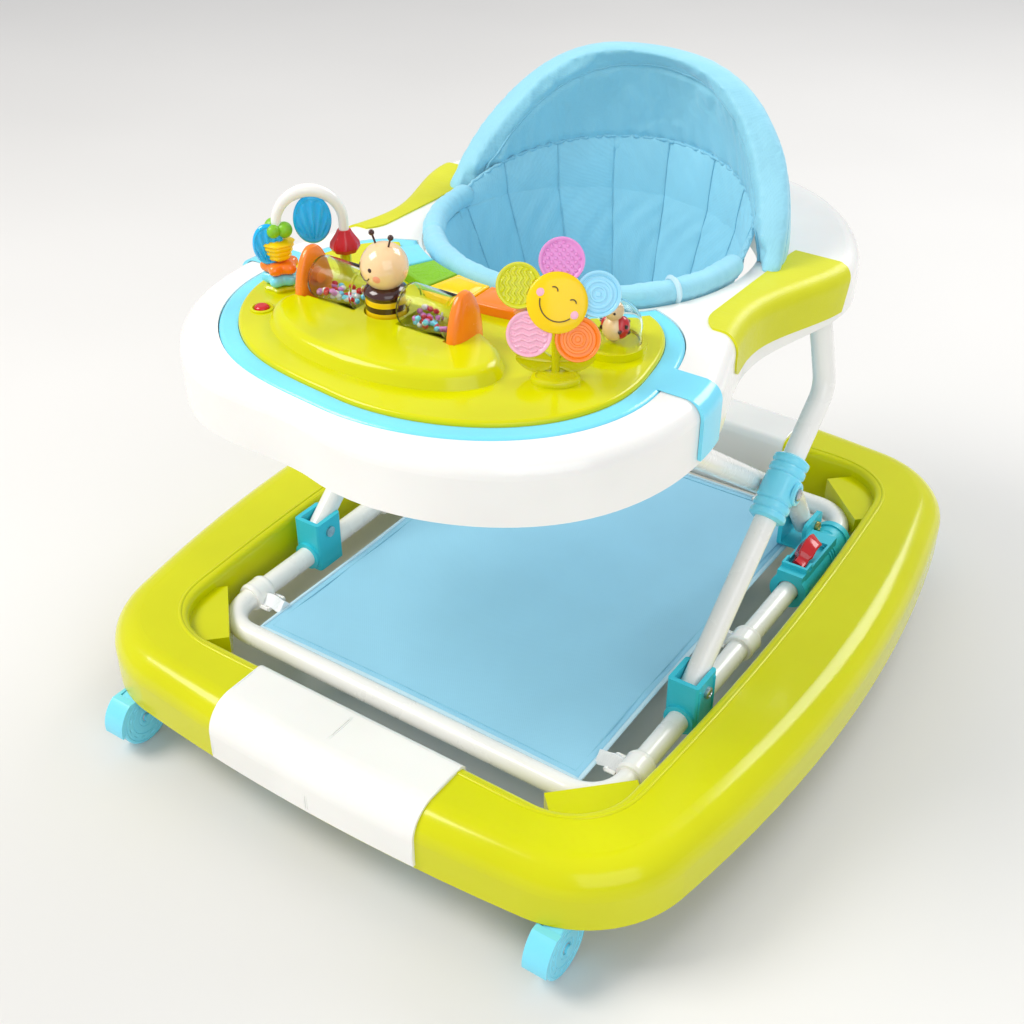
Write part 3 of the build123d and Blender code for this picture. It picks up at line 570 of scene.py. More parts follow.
def finish(name):
    """One material by its plain name, made when first asked for."""
    if name in _finishes:
        return _finishes[name]
    shade = colours()
    makers = {
        "lime": lambda: moulded("lime_gloss", shade.lime, 0.16, coat=0.1, Specular_IOR_Level=0.3),
        "white": lambda: moulded("white_gloss", shade.white, 0.2),
        "sky": lambda: moulded("sky_gloss", shade.sky, 0.2),
        "teal": lambda: grained("teal_grain", shade.teal),
        "lime_grip": lambda: grained("lime_grain", shade.lime),
        "red": lambda: moulded("red_gloss", shade.red, 0.16),
        "orange": lambda: moulded("orange_gloss", shade.orange, 0.22),
        "yellow": lambda: moulded("yellow_gloss", shade.yellow, 0.16, coat=0.1, Specular_IOR_Level=0.3),
        "green": lambda: grained("green_grain", shade.green),
        "leaf": lambda: moulded("leaf_gloss", shade.lime, 0.24),
        "bright_blue": lambda: moulded("bright_blue_gloss", srgb(8, 182, 246), 0.16),
        "pink": lambda: moulded("pink_gloss", srgb(225, 140, 205), 0.3),
        "pale_pink": lambda: moulded("pale_pink_gloss", srgb(244, 178, 200), 0.3),
        "petal_blue": lambda: moulded("petal_blue_gloss", srgb(150, 215, 240), 0.3),
        "blush": lambda: moulded("blush_print", srgb(250, 160, 130), 0.35),
        "ink": lambda: moulded("ink_print", shade.brown, 0.3),
        "tan": lambda: moulded("tan_paint", shade.skin, 0.12, coat=0.6),
        # the parting finish is a grey painted shadow for the stopper pads' parting groove
        "parting": lambda: moulded("parting_groove_painted_shadow", srgb(176, 172, 164), 0.5),
        "bee_bands": lambda: banded("bee_bands", shade.yellow, shade.brown, 430.4, 2.3),
        "brown": lambda: moulded("brown_gloss", shade.brown, 0.1, coat=0.6),
        "tube": lambda: enamelled("white_enamel", shade.white),
        "steel": lambda: plated("zinc_plate", srgb(196, 198, 200)),
        "brass": lambda: plated("yellow_zinc", srgb(205, 178, 110), 0.32),
        "rubber": lambda: grained("sky_rubber", srgb(96, 190, 218)),
        "cloth": lambda: woven("seat_cloth", shade.cloth),
        "cloth_smooth": lambda: woven("seat_cloth_tight", shade.cloth, crease=0.2, crease_scale=20.0),
        "mat": lambda: woven("mat_cloth", shade.mat, 0.0016, 0.05, 12.0, 0.2, 0.02),
        "binding": lambda: woven("pale_binding", srgb(196, 228, 240), 0.0009, 0.3, 60.0),
        "thread": lambda: woven("seam_thread", srgb(138, 202, 224), 0.0007, 0.2, 90.0),
        "webbing": lambda: woven("white_webbing", srgb(238, 240, 240), 0.0013, 0.2, 60.0, 0.1),
        "clear": lambda: clear_plastic("clear_moulding", srgb(250, 253, 253)),
    }
    _finishes[name] = makers[name]()
    return _finishes[name]


# ---------------------------------------------------------------- operators
class PieceOperator:
    """What every operator here shares: one undo step, and build() as its work."""
    bl_options = {"REGISTER", "UNDO"}

    def execute(self, context):
        self.build()
        return {"FINISHED"}


class WALKER_OT_cad_finishes(PieceOperator, bpy.types.Operator):
    """Give each kept node of the frame its finish"""
    bl_idname = "walker.cad_finishes"
    bl_label = "Frame Finishes"

    finishes = {
        "base_ring": "lime", "front_stopper_pad": "white", "rear_stopper_pad": "white",
        "anti_slip_strips": "rubber", "front_cross_tube": "tube", "rear_cross_tube": "tube",
        "side_tube_": "tube", "leg_bracket_": "teal", "bracket_pins": "steel", "caster_hood_": "sky",
        "leg_a_": "tube", "cross_pins": "steel", "leg_b_": "tube", "slide_pins": "brass", "slider_": "teal",
        "tray_shell": "white", "tray_brackets": "white", "hinge_pins": "steel", "grip_panel_": "lime_grip",
        "tray_trim": "sky", "play_panel": "lime", "roller_posts": "orange", "button": "red",
        "key_1": "sky", "key_2": "green", "key_3": "yellow", "key_4": "orange",
    }

    def build(self):
        for name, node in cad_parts.items():
            found = [f for stem, f in self.finishes.items() if name.startswith(stem)]
            if found:
                node.data.materials.clear()
                node.data.materials.append(finish(found[0]))


def screw_head(radius, height):
    """A domed head with a cross recess: height falls with radius, less a groove where either axis is near."""
    reach = np.linspace(radius, 0.2, 14)[:, None]
    turn = np.linspace(0, FULL_TURN, 40, endpoint=False)[None, :]
    x = reach * np.cos(turn)
    y = reach * np.sin(turn)
    dome = height * np.sqrt(np.clip(1 - (reach / radius) ** 2 * 0.9, 0, 1)) + 0 * turn
    arm = (np.minimum(np.abs(x), np.abs(y)) < radius * 0.14) & (np.hypot(x, y) < radius * 0.62)
    z = dome - np.where(arm, height * 0.45, 0)
    points = np.stack([x, y, z], -1)
    skirt = points[:1].copy()
    skirt[..., 2] = -0.6
    return grid_shell(np.vstack([skirt, points]), wrap_columns=True, caps=(True, True))


class WALKER_OT_screws(PieceOperator, bpy.types.Operator):
    """Add cross-recess screw heads at the brackets, barrels and sliders"""
    bl_idname = "walker.screws"
    bl_label = "Screw Heads"

    def build(self):
        for name, body, slot, shade in (("bracket_pins", "base", "steel", "steel"),
                                        ("cross_pins", "leg_frame_a", "steel", "steel"),
                                        ("slide_pins", "leg_frame_b", "steel", "brass")):
            low, high = box_mm(name)
            middle = (low + high) / 2
            head = screw_head(5.4, 2.4)
            outer = on_x(head, (high[0] - 0.2, middle[1], middle[2]))
            piece(name + "_heads", joined(outer, mirrored(outer)), body, finish(shade))


class WALKER_OT_wheels(PieceOperator, bpy.types.Operator):
    """Make the caster wheels: rimmed discs with rings, dashes and a centre screw"""
    bl_idname = "walker.wheels"
    bl_label = "Caster Wheels"

    # (radius, height) from the back face's edge, over the tread and three grooves, to the screw's seat
    profile = ((26.2, -8.5), (27, -7.4), (27, 7.2), (26.2, 8.2), (24.2, 8.4),
               (23.8, 7.9), (23.0, 7.9), (22.6, 8.3),
               (16.8, 8.3), (16.5, 7.8), (15.9, 7.8), (15.6, 8.3),
               (9.4, 8.3), (9.1, 7.8), (8.5, 7.8), (8.2, 8.3),
               (5.6, 8.3), (5.2, 7.2), (0.5, 7.2))

    def build(self):
        dashes = sizes().wheel_dashes
        profile = np.array(self.profile)
        finer = np.linspace(0, len(profile) - 1, 5 * len(profile))
        profile = np.stack([np.interp(finer, np.arange(len(profile)), profile[:, k]) for k in (0, 1)], -1)
        profile = np.vstack([[(0.5, -8.5), (18, -8.5)], profile])

        def dash(turn, radius, height):
            inside = (radius > 19.0) & (radius < 20.4) & (height > 0)
            return 0, np.where(inside & (np.sin(turn * dashes) > 0.35), -0.7, 0.0)

        disc = lathe(profile, 144, dash)
        screw = moved(screw_head(4.4, 1.6), (0, 0, 7.3))
        for label in CORNERS:
            low, high = box_mm("caster_wheel_" + label)
            middle = (low + high) / 2
            wheel = on_x(disc, middle)
            piece("wheel_disc_" + label, wheel, "wheel_" + label, finish("sky"),
                  ["caster_wheel_" + label], 28)
            centre = on_x(screw, middle)
            piece("wheel_screw_" + label, centre, "wheel_" + label, finish("steel"))


class WALKER_OT_barrels(PieceOperator, bpy.types.Operator):
    """Make the ribbed barrels where the legs cross"""
    bl_idname = "walker.barrels"
    bl_label = "Crossing Barrels"

    def build(self):
        half = 30.0
        along = np.array([0, 142.2, 122.6])     # the way leg A runs through the barrel
        along = along / np.linalg.norm(along)
        lift = np.cross((1, 0, 0), along)
        low, high = box_mm("cross_barrels")
        middle = np.array([high[0] - 16.5, (low[1] + high[1]) / 2, (low[2] + high[2]) / 2])
        ribs = sizes().barrel_ribs
        step = np.linspace(-half, half, 121)
        groove = 0.5 + 0.5 * np.cos((step + half) / (2 * half) * FULL_TURN * ribs)
        end = np.clip((half - np.abs(step)) / 2.0, 0, 1)
        plain = np.abs(step) < 10
        radius = 16.4 - 1.5 * np.where(plain, 0, groove ** 3) - 2.0 * (1 - end)
        body = np.vstack([[(10.2, -half)], np.stack([radius, step], -1), [(10.2, half)]])
        sleeve = turned(lathe(body, 56), (1, 0, 0), lift, along, middle)
        boss = lathe([(10.5, 0), (10.5, 2.6), (9.6, 3.4), (7.0, 3.4), (6.4, 2.2), (0.5, 2.2)], 40)
        boss = on_x(boss, middle + (14.6, 0, 0))
        both = joined(sleeve, boss, mirrored(sleeve), mirrored(boss))
        piece("ribbed_barrels", both, "leg_frame_a", finish("sky"), ["cross_barrels"], 30)


class WALKER_OT_latches(PieceOperator, bpy.types.Operator):
    """Make the red latch paddles with a thumb curl"""
    bl_idname = "walker.latches"
    bl_label = "Latches"

    def build(self):
        for label, _ in SIDES:
            node = "latch_" + label
            low, high = box_mm(node)
            x = (low[0] + high[0]) / 2
            path = smooth_path([(x, low[1] + 2, low[2] + 3.4), (x, low[1] + 10, low[2] + 4.6),
                                (x, low[1] + 16, low[2] + 8.2), (x, low[1] + 24, low[2] + 12.4),
                                (x, low[1] + 32, low[2] + 12.6), (x, high[1] - 1.5, low[2] + 9.6)], 60)
            run = np.linspace(0, 1, 60)
            swell = np.interp(run, [0, 0.3, 0.4, 0.9, 1.0], [0.78, 0.78, 1, 1, 0.7])
            paddle = swept(path, rounded_bar(19, 7.6, 2.4), scale=swell)
            piece("latch_paddle_" + label, paddle, node, finish("red"), [node], 30)


class WALKER_OT_slider_detail(PieceOperator, bpy.types.Operator):
    """Add grip ribs and end collars to the sliders, and ribs to the leg brackets"""
    bl_idname = "walker.slider_detail"
    bl_label = "Slider and Bracket Ribs"

    # middle along the tube, half width, outer radius and bore of each ring; rear bores clear the rear tube
    rings = ((97.2, 3.5, 18.6, 10.9), (158.0, 1.2, 18.0, 12.6), (163.0, 1.2, 18.0, 12.6),
             (168.0, 1.2, 18.0, 12.6), (196.8, 3.5, 18.6, 12.6))
    ring_sides = 48

    def build(self):
        for label, side in SIDES:
            rings = []
            for y, half, radius, bore in self.rings:
                loop = circle(radius, self.ring_sides)
                front = np.full(self.ring_sides, y - half)
                hole = loop * bore / radius
                outer = np.stack([side * TUBE_X + loop[:, 0], front, TUBE_Z + loop[:, 1]], -1)
                inner = np.stack([side * TUBE_X + hole[:, 0], front, TUBE_Z + hole[:, 1]], -1)
                shift = np.array([0, (y + half) - (y - half), 0])
                grid = np.stack([inner, outer, outer + shift, inner + shift])
                rings.append(grid_shell(grid, wrap_rows=True, wrap_columns=True))
            piece("slider_rings_" + label, joined(*rings), "sliders", finish("teal"))
            low, high = box_mm("leg_bracket_" + label)
            ribs = []
            for y in (low[1] + 4, high[1] - 4):
                section = rounded_bar(2.2, 2.2, 0.8)
                edge = high[0] if side > 0 else low[0]
                path = np.array([(edge, y, z) for z in np.linspace(low[2] + 4, high[2] - 5, 8)])
                ribs.append(swept(path, section, up=(0, 1, 0)))
            foot = np.array([((low[0] + high[0]) / 2, y, TUBE_Z) for y in (low[1] - 3.0, low[1], low[1] + 1)])
            loop = circle(14.0, 40)
            grid = foot[:, None] + np.stack([loop[:, 0], 0 * loop[:, 0], loop[:, 1]], -1)[None]
            ribs.append(grid_shell(grid, wrap_columns=True, caps=(True, True)))
            piece("bracket_ribs_" + label, joined(*ribs), "base", finish("teal"))


class WALKER_OT_pads(PieceOperator, bpy.types.Operator):
    """Add the parting groove's ridges, a grey strip of painted shadow in the groove, and the moulded relief
    on the stopper pads
    """
    bl_idname = "walker.pads"
    bl_label = "Stopper Pad Relief"

    def build(self):
        for label, side in (("front", -1), ("rear", 1)):
            crest = box_mm(label + "_stopper_pad")[1][2]
            lines = []
            inner = 292.0
            for x in (-106.0, -0.9, 0.0, 0.9, 106.0):
                outer = 362.0 + (20.0 * (1 - (x / 276.0) ** 2) - 20.0)
                over = ((inner - 1.0, 70), (inner - 1.5, 98), (inner + 4, crest - 1.2),
                        (inner + 16, crest - 0.1),
                        (outer - 22, crest - 0.6), (outer - 3, crest - 18), (outer + 2.4, crest - 36),
                        (outer + 2.4, 62))
                path = smooth_path([(x, side * y, z) for y, z in over], 60)
                line = swept(path, circle(0.5 if x == 0 else 0.9, 8), up=(1, 0, 0))
                # the middle line is a thin grey strip: painted shadow in the parting groove between the two
                # ridges
                if x == 0:
                    piece(label + "_pad_parting_painted_shadow", line, "base", finish("parting"))
                else:
                    lines.append(line)
            piece(label + "_pad_ridges", joined(*lines), "base", finish("white"))


class WALKER_OT_ring_lip(PieceOperator, bpy.types.Operator):
    """Lay the raised bead that runs round the base ring's opening"""
    bl_idname = "walker.ring_lip"
    bl_label = "Ring Lip"

    half_x = 233.0
    half_y = 301.0
    side_bow = 14.0
    corner = 64.0

    def build(self):
        """A quarter of the loop is the bowed side and a quarter-ellipse corner; the rest mirrors it."""
        side_y = np.linspace(0, self.half_y - self.corner, 40, endpoint=False)
        side_x = self.half_x + self.side_bow * (1 - (side_y / self.half_y) ** 2)
        turn = np.linspace(0, math.pi / 2, 24, endpoint=False)
        across = side_x[-1] - (self.half_x - self.corner)
        bend = np.stack([self.half_x - self.corner + across * np.cos(turn),
                         self.half_y - self.corner * (1 - np.sin(turn))], -1)
        end_x = np.linspace(self.half_x - self.corner, 0, 30, endpoint=False)
        end = np.stack([end_x, np.full(30, self.half_y)], -1)
        quarter = np.vstack([np.stack([side_x, side_y], -1), bend, end])
        half = np.vstack([quarter, (quarter * (-1, 1))[:0:-1]])
        loop = eased_loop(np.vstack([half, -half]), 12)
        path = np.column_stack([loop, np.full(len(loop), box_mm("base_ring")[1][2] - 0.5)])
        bead = swept(path, circle(2.0, 14, 0.8), closed=True)
        piece("ring_lip_bead", bead, "base", finish("lime"), (), 60)


class WALKER_OT_grips(PieceOperator, bpy.types.Operator):
    """Trim the side grips to rounded corners, seen from above and from the side"""
    bl_idname = "walker.grips"
    bl_label = "Side Grips"

    def build(self):
        for label, side in SIDES:
            node = "grip_panel_" + label
            skin = bpy.data.objects.new("grip_skin_" + label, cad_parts[node].data.copy())
            bpy.context.scene.collection.objects.link(skin)
            work = bmesh.new()
            work.from_mesh(skin.data)
            bmesh.ops.remove_doubles(work, verts=work.verts, dist=WELD)
            work.to_mesh(skin.data)
            work.free()
            low, high = box_mm(node)
            length = high[1] - low[1] - 0.4
            middle_y = (low[1] + high[1]) / 2
            outside = high[0] + 0.4 if side > 0 else low[0] - 0.4
            middle_x = outside - side * (high[0] - low[0]) + side * 100.6
            plan = rounded_bar(200.0, length, 30.0, 9) + (middle_x, middle_y)
            column = [np.column_stack([plan, np.full(len(plan), z)]) for z in (330, 430)]
            flank = rounded_bar(length, 120.0, 20.0, 9)
            flank = np.stack([flank[:, 0] + middle_y, flank[:, 1] + low[2] + 60.2], -1)
            beam = [np.column_stack([np.full(len(flank), side * x), flank]) for x in (140, 260)]
            for shape in (column, beam):
                cutter = cut_by(skin, shape, "INTERSECT")
                applied(skin)
                bpy.data.objects.remove(cutter)
            dressed(skin, "seat_tray", finish("lime_grip"), [node], 30)


class WALKER_OT_mat(PieceOperator, bpy.types.Operator):
    """Stretch the foot mat, bind its edge, and add the webbing tabs and collars that hold it"""
    bl_idname = "walker.mat"
    bl_label = "Foot Mat"

    def build(self):
        low, high = box_mm("foot_mat")
        half_x, half_y = high[0], high[1]
        middle = (low[2] + high[2]) / 2
        nx, ny = 70, 92
        u = np.linspace(-1, 1, nx)[:, None]
        v = np.linspace(-1, 1, ny)[None, :]
        pull_x = 1 - 0.012 * (1 - v ** 2) * (1 - 0.4 * np.cos(v * math.pi) ** 2)
        pull_y = 1 - 0.010 * (1 - u ** 2)
        x = half_x * u * pull_x
        y = half_y * v * pull_y
        sag = -2.6 * (1 - u ** 2) * (1 - v ** 2)
        ripple = 0.5 * np.sin(7 * u + 3 * v ** 2) * np.sin(5 * v) * (1 - u ** 4) * (1 - v ** 4)
        edge = np.maximum(np.abs(u), np.abs(v))
        drag = 0.7 * np.cos(v * 14) * np.clip((np.abs(u) - 0.75) / 0.25, 0, 1) * (edge < 0.999)
        z = middle + 0.8 + sag + ripple + drag
        top = np.stack([x + 0 * v, y + 0 * u, z], -1)
        shell = grid_shell(top)
        mat = piece("stretched_mat", shell, None, finish("mat"), ["foot_mat"], 180)
        thick = mat.modifiers.new("Thickness", "SOLIDIFY")
        thick.thickness = 1.6 * MM
        thick.offset = 0
        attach(mat, "base")
        rim = grid_rim(top)
        tape = swept(rim, np.array(rounded_bar(4.6, 3.2, 1.2)), closed=True)
        inner = rim * (0.957, 0.966, 1) + (0, 0, 0.9)
        stitch = swept(inner, circle(0.5, 6), closed=True)
        edge_tape = piece("mat_edge_tape", tape, "base", finish("binding"), (), 60)
        seam = piece("mat_seam", stitch, "base", finish("thread"), (), 60)
        self.collars()

    def collars(self):
        """Each collar is a rounded sleeve with a raised buckle frame; each tab is a flat webbing strip."""
        sleeves, straps = [], []
        spots = []
        for side in (-1, 1):
            spots += [(side * TUBE_X, -194.0, (0, 1, 0), (-side, 0, 0)),
                      (side * TUBE_X, 0.0, (0, 1, 0), (-side, 0, 0)),
                      (side * 120.0, 243.0, (1, 0, 0), (0, -1, 0))]
        for x, y, along, inward in spots:
            along = np.array(along, float)
            inward = np.array(inward, float)
            step = np.linspace(-11, 11, 23)
            radius = 14.0 - 1.4 * np.abs(step / 11) ** 6 - 0.5 * (np.abs(step) < 7)
            body = np.vstack([[(10.1, -11)], np.stack([radius, step], -1), [(10.1, 11)]])
            sleeve = lathe(body, 40)
            sleeves.append(turned(sleeve, np.cross(along, (0, 0, 1)), (0, 0, 1), along, (x, y, TUBE_Z)))
            centre = np.array([x, y, TUBE_Z]) + inward * 13.4
            drop = np.array([0, 0, 3.2])
            for way in (-1, 1):
                rail = np.array([centre + inward * t - drop + along * way * 10.2
                                 for t in np.linspace(0, 9, 5)])
                sleeves.append(swept(rail, rounded_bar(2.4, 4.4, 0.9)))
            bar = np.array([centre + inward * 9.2 - drop + along * t for t in np.linspace(-11, 11, 7)])
            sleeves.append(swept(bar, rounded_bar(3.0, 4.4, 0.9)))
            reach = 21.0 if along[1] else 4.0
            run = np.linspace(0, 1, 16)
            hop = 2.2 * np.sin(np.clip(run * 1.3, 0, 1) * math.pi)
            line = centre + inward * (run * reach)[:, None] + np.array([0, 0, 1.0]) * (hop - 3.6)[:, None]
            straps.append(swept(line, rounded_bar(17.0, 1.6, 0.6)))
        piece("tube_collars", joined(*sleeves), "base", finish("white"), ["mat_collars"], 35)
        piece("webbing_tabs", joined(*straps), "base", finish("webbing"), ["mat_tabs"], 60)


# ---------------------------------------------------------------- seat
SEAT_Y = 53.0                    # centre of the seat opening
SLING_TOP_Z = 403.5
SLING_FLOOR_Z = 232.0
HOLE_R = 45.0                    # radius of a leg hole
CROWN_Z = 547.0                  # top of the backrest


def seam_height(turn):
    """Height of the arched seam where the sling meets the backrest, by the turn from the rear."""
    return 411.0 + 40.0 * np.clip(np.cos(turn), 0, 1) ** 0.8


def round_seat(radius, turn, z, way):
    """Points round the seat's centre: turn runs from the rear where way is 1, from the front where -1."""
    return np.stack([radius * np.sin(turn), SEAT_Y + way * radius * np.cos(turn), z + 0 * turn], -1)


def back_radius(z):
    """The backrest's outer radius at a height: a quarter ellipse from 168 at the foot to 102 at the crown."""
    share = np.clip((z - 404.0) / 143.0, 0, 1)
    return 102.0 + 66.0 * np.sqrt(1 - share ** 2)


def snapped(line, points, passes=8):
    """A line laid on a surface: each of its points takes the nearest surface point, then it is eased."""
    chunks = [((part[:, None] - points[None]) ** 2).sum(2).argmin(1) for part in np.array_split(line, 26)]
    return eased(points[np.concatenate(chunks)], passes)


def bucket(turn, rise, grow=0.0):
    """The sling's wall: an ellipse at the floor that opens to a circle at the rim, by a share of the rise."""
    half_x = 78 + 56 * rise + grow
    half_y = 88 + 46 * rise + grow
    middle = SEAT_Y + 18 * (1 - rise)
    z = SLING_FLOOR_Z + (SLING_TOP_Z - SLING_FLOOR_Z) * rise
    return np.stack([half_x * np.sin(turn), middle - half_y * np.cos(turn), z + 0 * turn], -1)


def leg_hole_axis(side):
    """Where a leg hole's tube starts inside the bucket, and which way it runs out through the wall."""
    start = np.array([side * 46.0, SEAT_Y - 20, SLING_FLOOR_Z + 45])
    end = np.array([side * 100.0, SEAT_Y - 200, SLING_FLOOR_Z + 20])
    return start, (end - start) / np.linalg.norm(end - start)


def leg_hole_line(side, radius, count=96):
    """Where a hole's tube meets the bucket wall, by halving each ray, and each ray's way from the axis."""
    start, axis = leg_hole_axis(side)
    across = np.cross(axis, (0, 0, 1))
    across = across / np.linalg.norm(across)
    lift = np.cross(across, axis)
    turn = np.linspace(0, FULL_TURN, count, endpoint=False)[:, None]
    spoke = np.cos(turn) * across + np.sin(turn) * lift
    ray = start + radius * spoke
    near = np.full((count, 1), -30.0)
    far = np.full((count, 1), 190.0)
    for _ in range(40):
        middle = (near + far) / 2
        point = ray + axis * middle
        rise = np.clip((point[:, 2:] - SLING_FLOOR_Z) / (SLING_TOP_Z - SLING_FLOOR_Z), 0, 1)
        x = point[:, :1] / (78 + 56 * rise)
        y = (point[:, 1:2] - SEAT_Y - 18 * (1 - rise)) / (88 + 46 * rise)
        inside = (x ** 2 + y ** 2 < 1) & (point[:, 2:] > SLING_FLOOR_Z)
        near = np.where(inside, middle, near)
        far = np.where(inside, far, middle)
    return ray + axis * near, spoke


class WALKER_OT_sling(PieceOperator, bpy.types.Operator):
    """Sew the seat sling: puffed upright channels, a quilted floor, and two bound leg holes"""
    bl_idname = "walker.sling"
    bl_label = "Seat Sling"

    def build(self):
        channels = sizes().channels
        puff = sizes().sling_puff
        turn = np.linspace(0, FULL_TURN, 432, endpoint=False)[None, :]
        rise = np.linspace(1, 0, 76)[:, None]
        swell = np.abs(np.sin(turn * channels / 2)) ** 0.55
        wander = 0.22 * np.sin(3 * turn + 5 * rise)
        creases = 0.55 * np.sin(turn * 31 + 9 * rise + 4 * np.sin(rise * 7))
        creases = creases * np.sin(rise * 11 + turn * 5 + wander)
        fade = np.clip(rise * 6, 0, 1) * np.clip((1 - rise) * 10, np.where(np.cos(turn) < 0, 1.0, 0.25), 1)
        creases = creases * np.clip((1 - rise) * 9, 0, 1)
        inward = -(puff * swell + creases) * fade
        wall_in = bucket(turn, rise + 0 * turn, inward - 1.2)
        wall_out = bucket(turn, rise + 0 * turn, 0.6 + 1.6 * swell * fade - 1.2)
        shrink = np.linspace(0.97, 0.02, 22)[:, None]
        floor_edge_in = wall_in[-1]
        middle = np.array([0, SEAT_Y + 18, SLING_FLOOR_Z])
        quilt = 1.8 * np.abs(np.sin(floor_edge_in[None, :, 0] * shrink / 17)) ** 0.6
        quilt = quilt * np.clip((1 - shrink) * 8, 0, 1)
        floor_in = middle + (floor_edge_in - middle)[None] * shrink[..., None]
        floor_in[..., 2] = SLING_FLOOR_Z + 2.2 + quilt - 2.5 * (1 - shrink)
        floor_out = middle + (wall_out[-1] - middle)[None] * shrink[..., None]
        floor_out[..., 2] = SLING_FLOOR_Z - 0.2 + 0 * quilt
        inner = grid_shell(np.vstack([wall_in, floor_in]), wrap_columns=True, caps=(False, True))
        outer = grid_shell(np.vstack([wall_out, floor_out]), wrap_columns=True, caps=(False, True))
        lip = grid_shell(np.stack([wall_in[0], wall_out[0]]), wrap_columns=True)
        sling = piece("sewn_sling", joined(inner, outer, lip), None, finish("cloth"),
                      ["seat_sling"], 180)
        cutters = []
        for side in (-1, 1):
            line, _ = leg_hole_line(side, HOLE_R)
            _, axis = leg_hole_axis(side)
            cutters.append(cut_by(sling, (line - axis * 60, line + axis * 60), "DIFFERENCE"))
        applied(sling)
        for cutter in cutters:
            bpy.data.objects.remove(cutter)
        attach(sling, "seat_tray")
        tapes, seams = [], []
        for side in (-1, 1):
            line, spoke = leg_hole_line(side, HOLE_R - 0.6, 160)
            tapes.append(swept(eased_loop(line, 10), rounded_bar(7.0, 4.0, 1.8), up=spoke, closed=True))
        for k in range(channels):
            angle = FULL_TURN * k / channels
            heights = np.linspace(0.99, 0.03, 120)
            dash = np.sin(heights * (SLING_TOP_Z - SLING_FLOOR_Z) / sizes().stitch * FULL_TURN / 2)
            seam = bucket(np.full(120, angle), heights, -1.9)
            if not self.in_leg_hole(seam).any():
                seams.append(swept(seam, circle(0.42, 6), up=(math.cos(angle), math.sin(angle), 0),
                                   scale=0.7 + 0.5 * np.abs(dash)))
        piece("leg_hole_binding", joined(*tapes), "seat_tray", finish("binding"), (), 60)
        piece("sling_seams", joined(*seams), "seat_tray", finish("thread"), (), 60)

    def in_leg_hole(self, points):
        """True where a point is inside either hole's tube, by its distance from the tube's axis."""
        inside = np.zeros(len(points), bool)
        for side in (-1, 1):
            start, axis = leg_hole_axis(side)
            away = points - start
            along = away @ axis
            inside |= (np.linalg.norm(away - along[:, None] * axis, axis=1) < HOLE_R + 1) & (along > -5)
        return inside


class WALKER_OT_back_liner(PieceOperator, bpy.types.Operator):
    """Carry the sling's channels up behind the sitter to the backrest's arched seam"""
    bl_idname = "walker.back_liner"
    bl_label = "Back Liner"

    def face(self, turn, share, proud):
        """From the sling's rim to the backrest's inner wall: radius and height both run along the share."""
        wall = back_radius(seam_height(turn)) - 27.0
        radius = 133.0 + (wall - 133.0) * share ** 2 - proud
        z = SLING_TOP_Z - 7 + (seam_height(turn) - SLING_TOP_Z + 9) * share
        return round_seat(radius, turn, z, 1)

    def build(self):
        channels = sizes().channels
        limit = math.radians(96)
        turn = np.linspace(-limit, limit, 257)[:, None]
        share = np.linspace(0, 1, 30)[None, :]
        swell = np.abs(np.sin(turn * channels / 2)) ** 0.55
        fade = np.cos(share * math.pi / 2) ** 0.4
        creases = 0.6 * np.sin(turn * 37 + 6 * share) * np.sin(share * 9 + turn * 7) * share
        front = self.face(turn, share, 0.7 + (sizes().sling_puff * swell + creases) * (0.3 + 0.7 * fade))
        back = self.face(turn, share, -1.0)[:, ::-1]
        shell = grid_shell(np.concatenate([front, back], 1), wrap_columns=True, caps=(True, True))
        liner = piece("sewn_back_liner", shell, "seat_tray", finish("cloth"), (), 180)
        seams = []
        for k in range(-4, 5):
            angle = FULL_TURN * k / channels
            rise = np.linspace(0.0, 0.97, 70)
            line = self.face(np.full(70, angle), rise, 1.4)
            dash = np.sin(rise * 52 / sizes().stitch * FULL_TURN / 2)
            seams.append(swept(line, circle(0.42, 6), up=(math.cos(angle), -math.sin(angle), 0),
                               scale=0.7 + 0.5 * np.abs(dash)))
        arch = np.linspace(-limit * 0.95, limit * 0.95, 260)
        ruffle = 1.2 + 0.7 * np.sin(arch * 71) + 0.4 * np.sin(arch * 123)
        edge = self.face(arch, np.full(260, 0.985), ruffle)
        seams.append(swept(edge, circle(1.5, 10), scale=1 + 0.22 * np.sin(arch * 95)))
        piece("liner_seams", joined(*seams), "seat_tray", finish("thread"), (), 60)


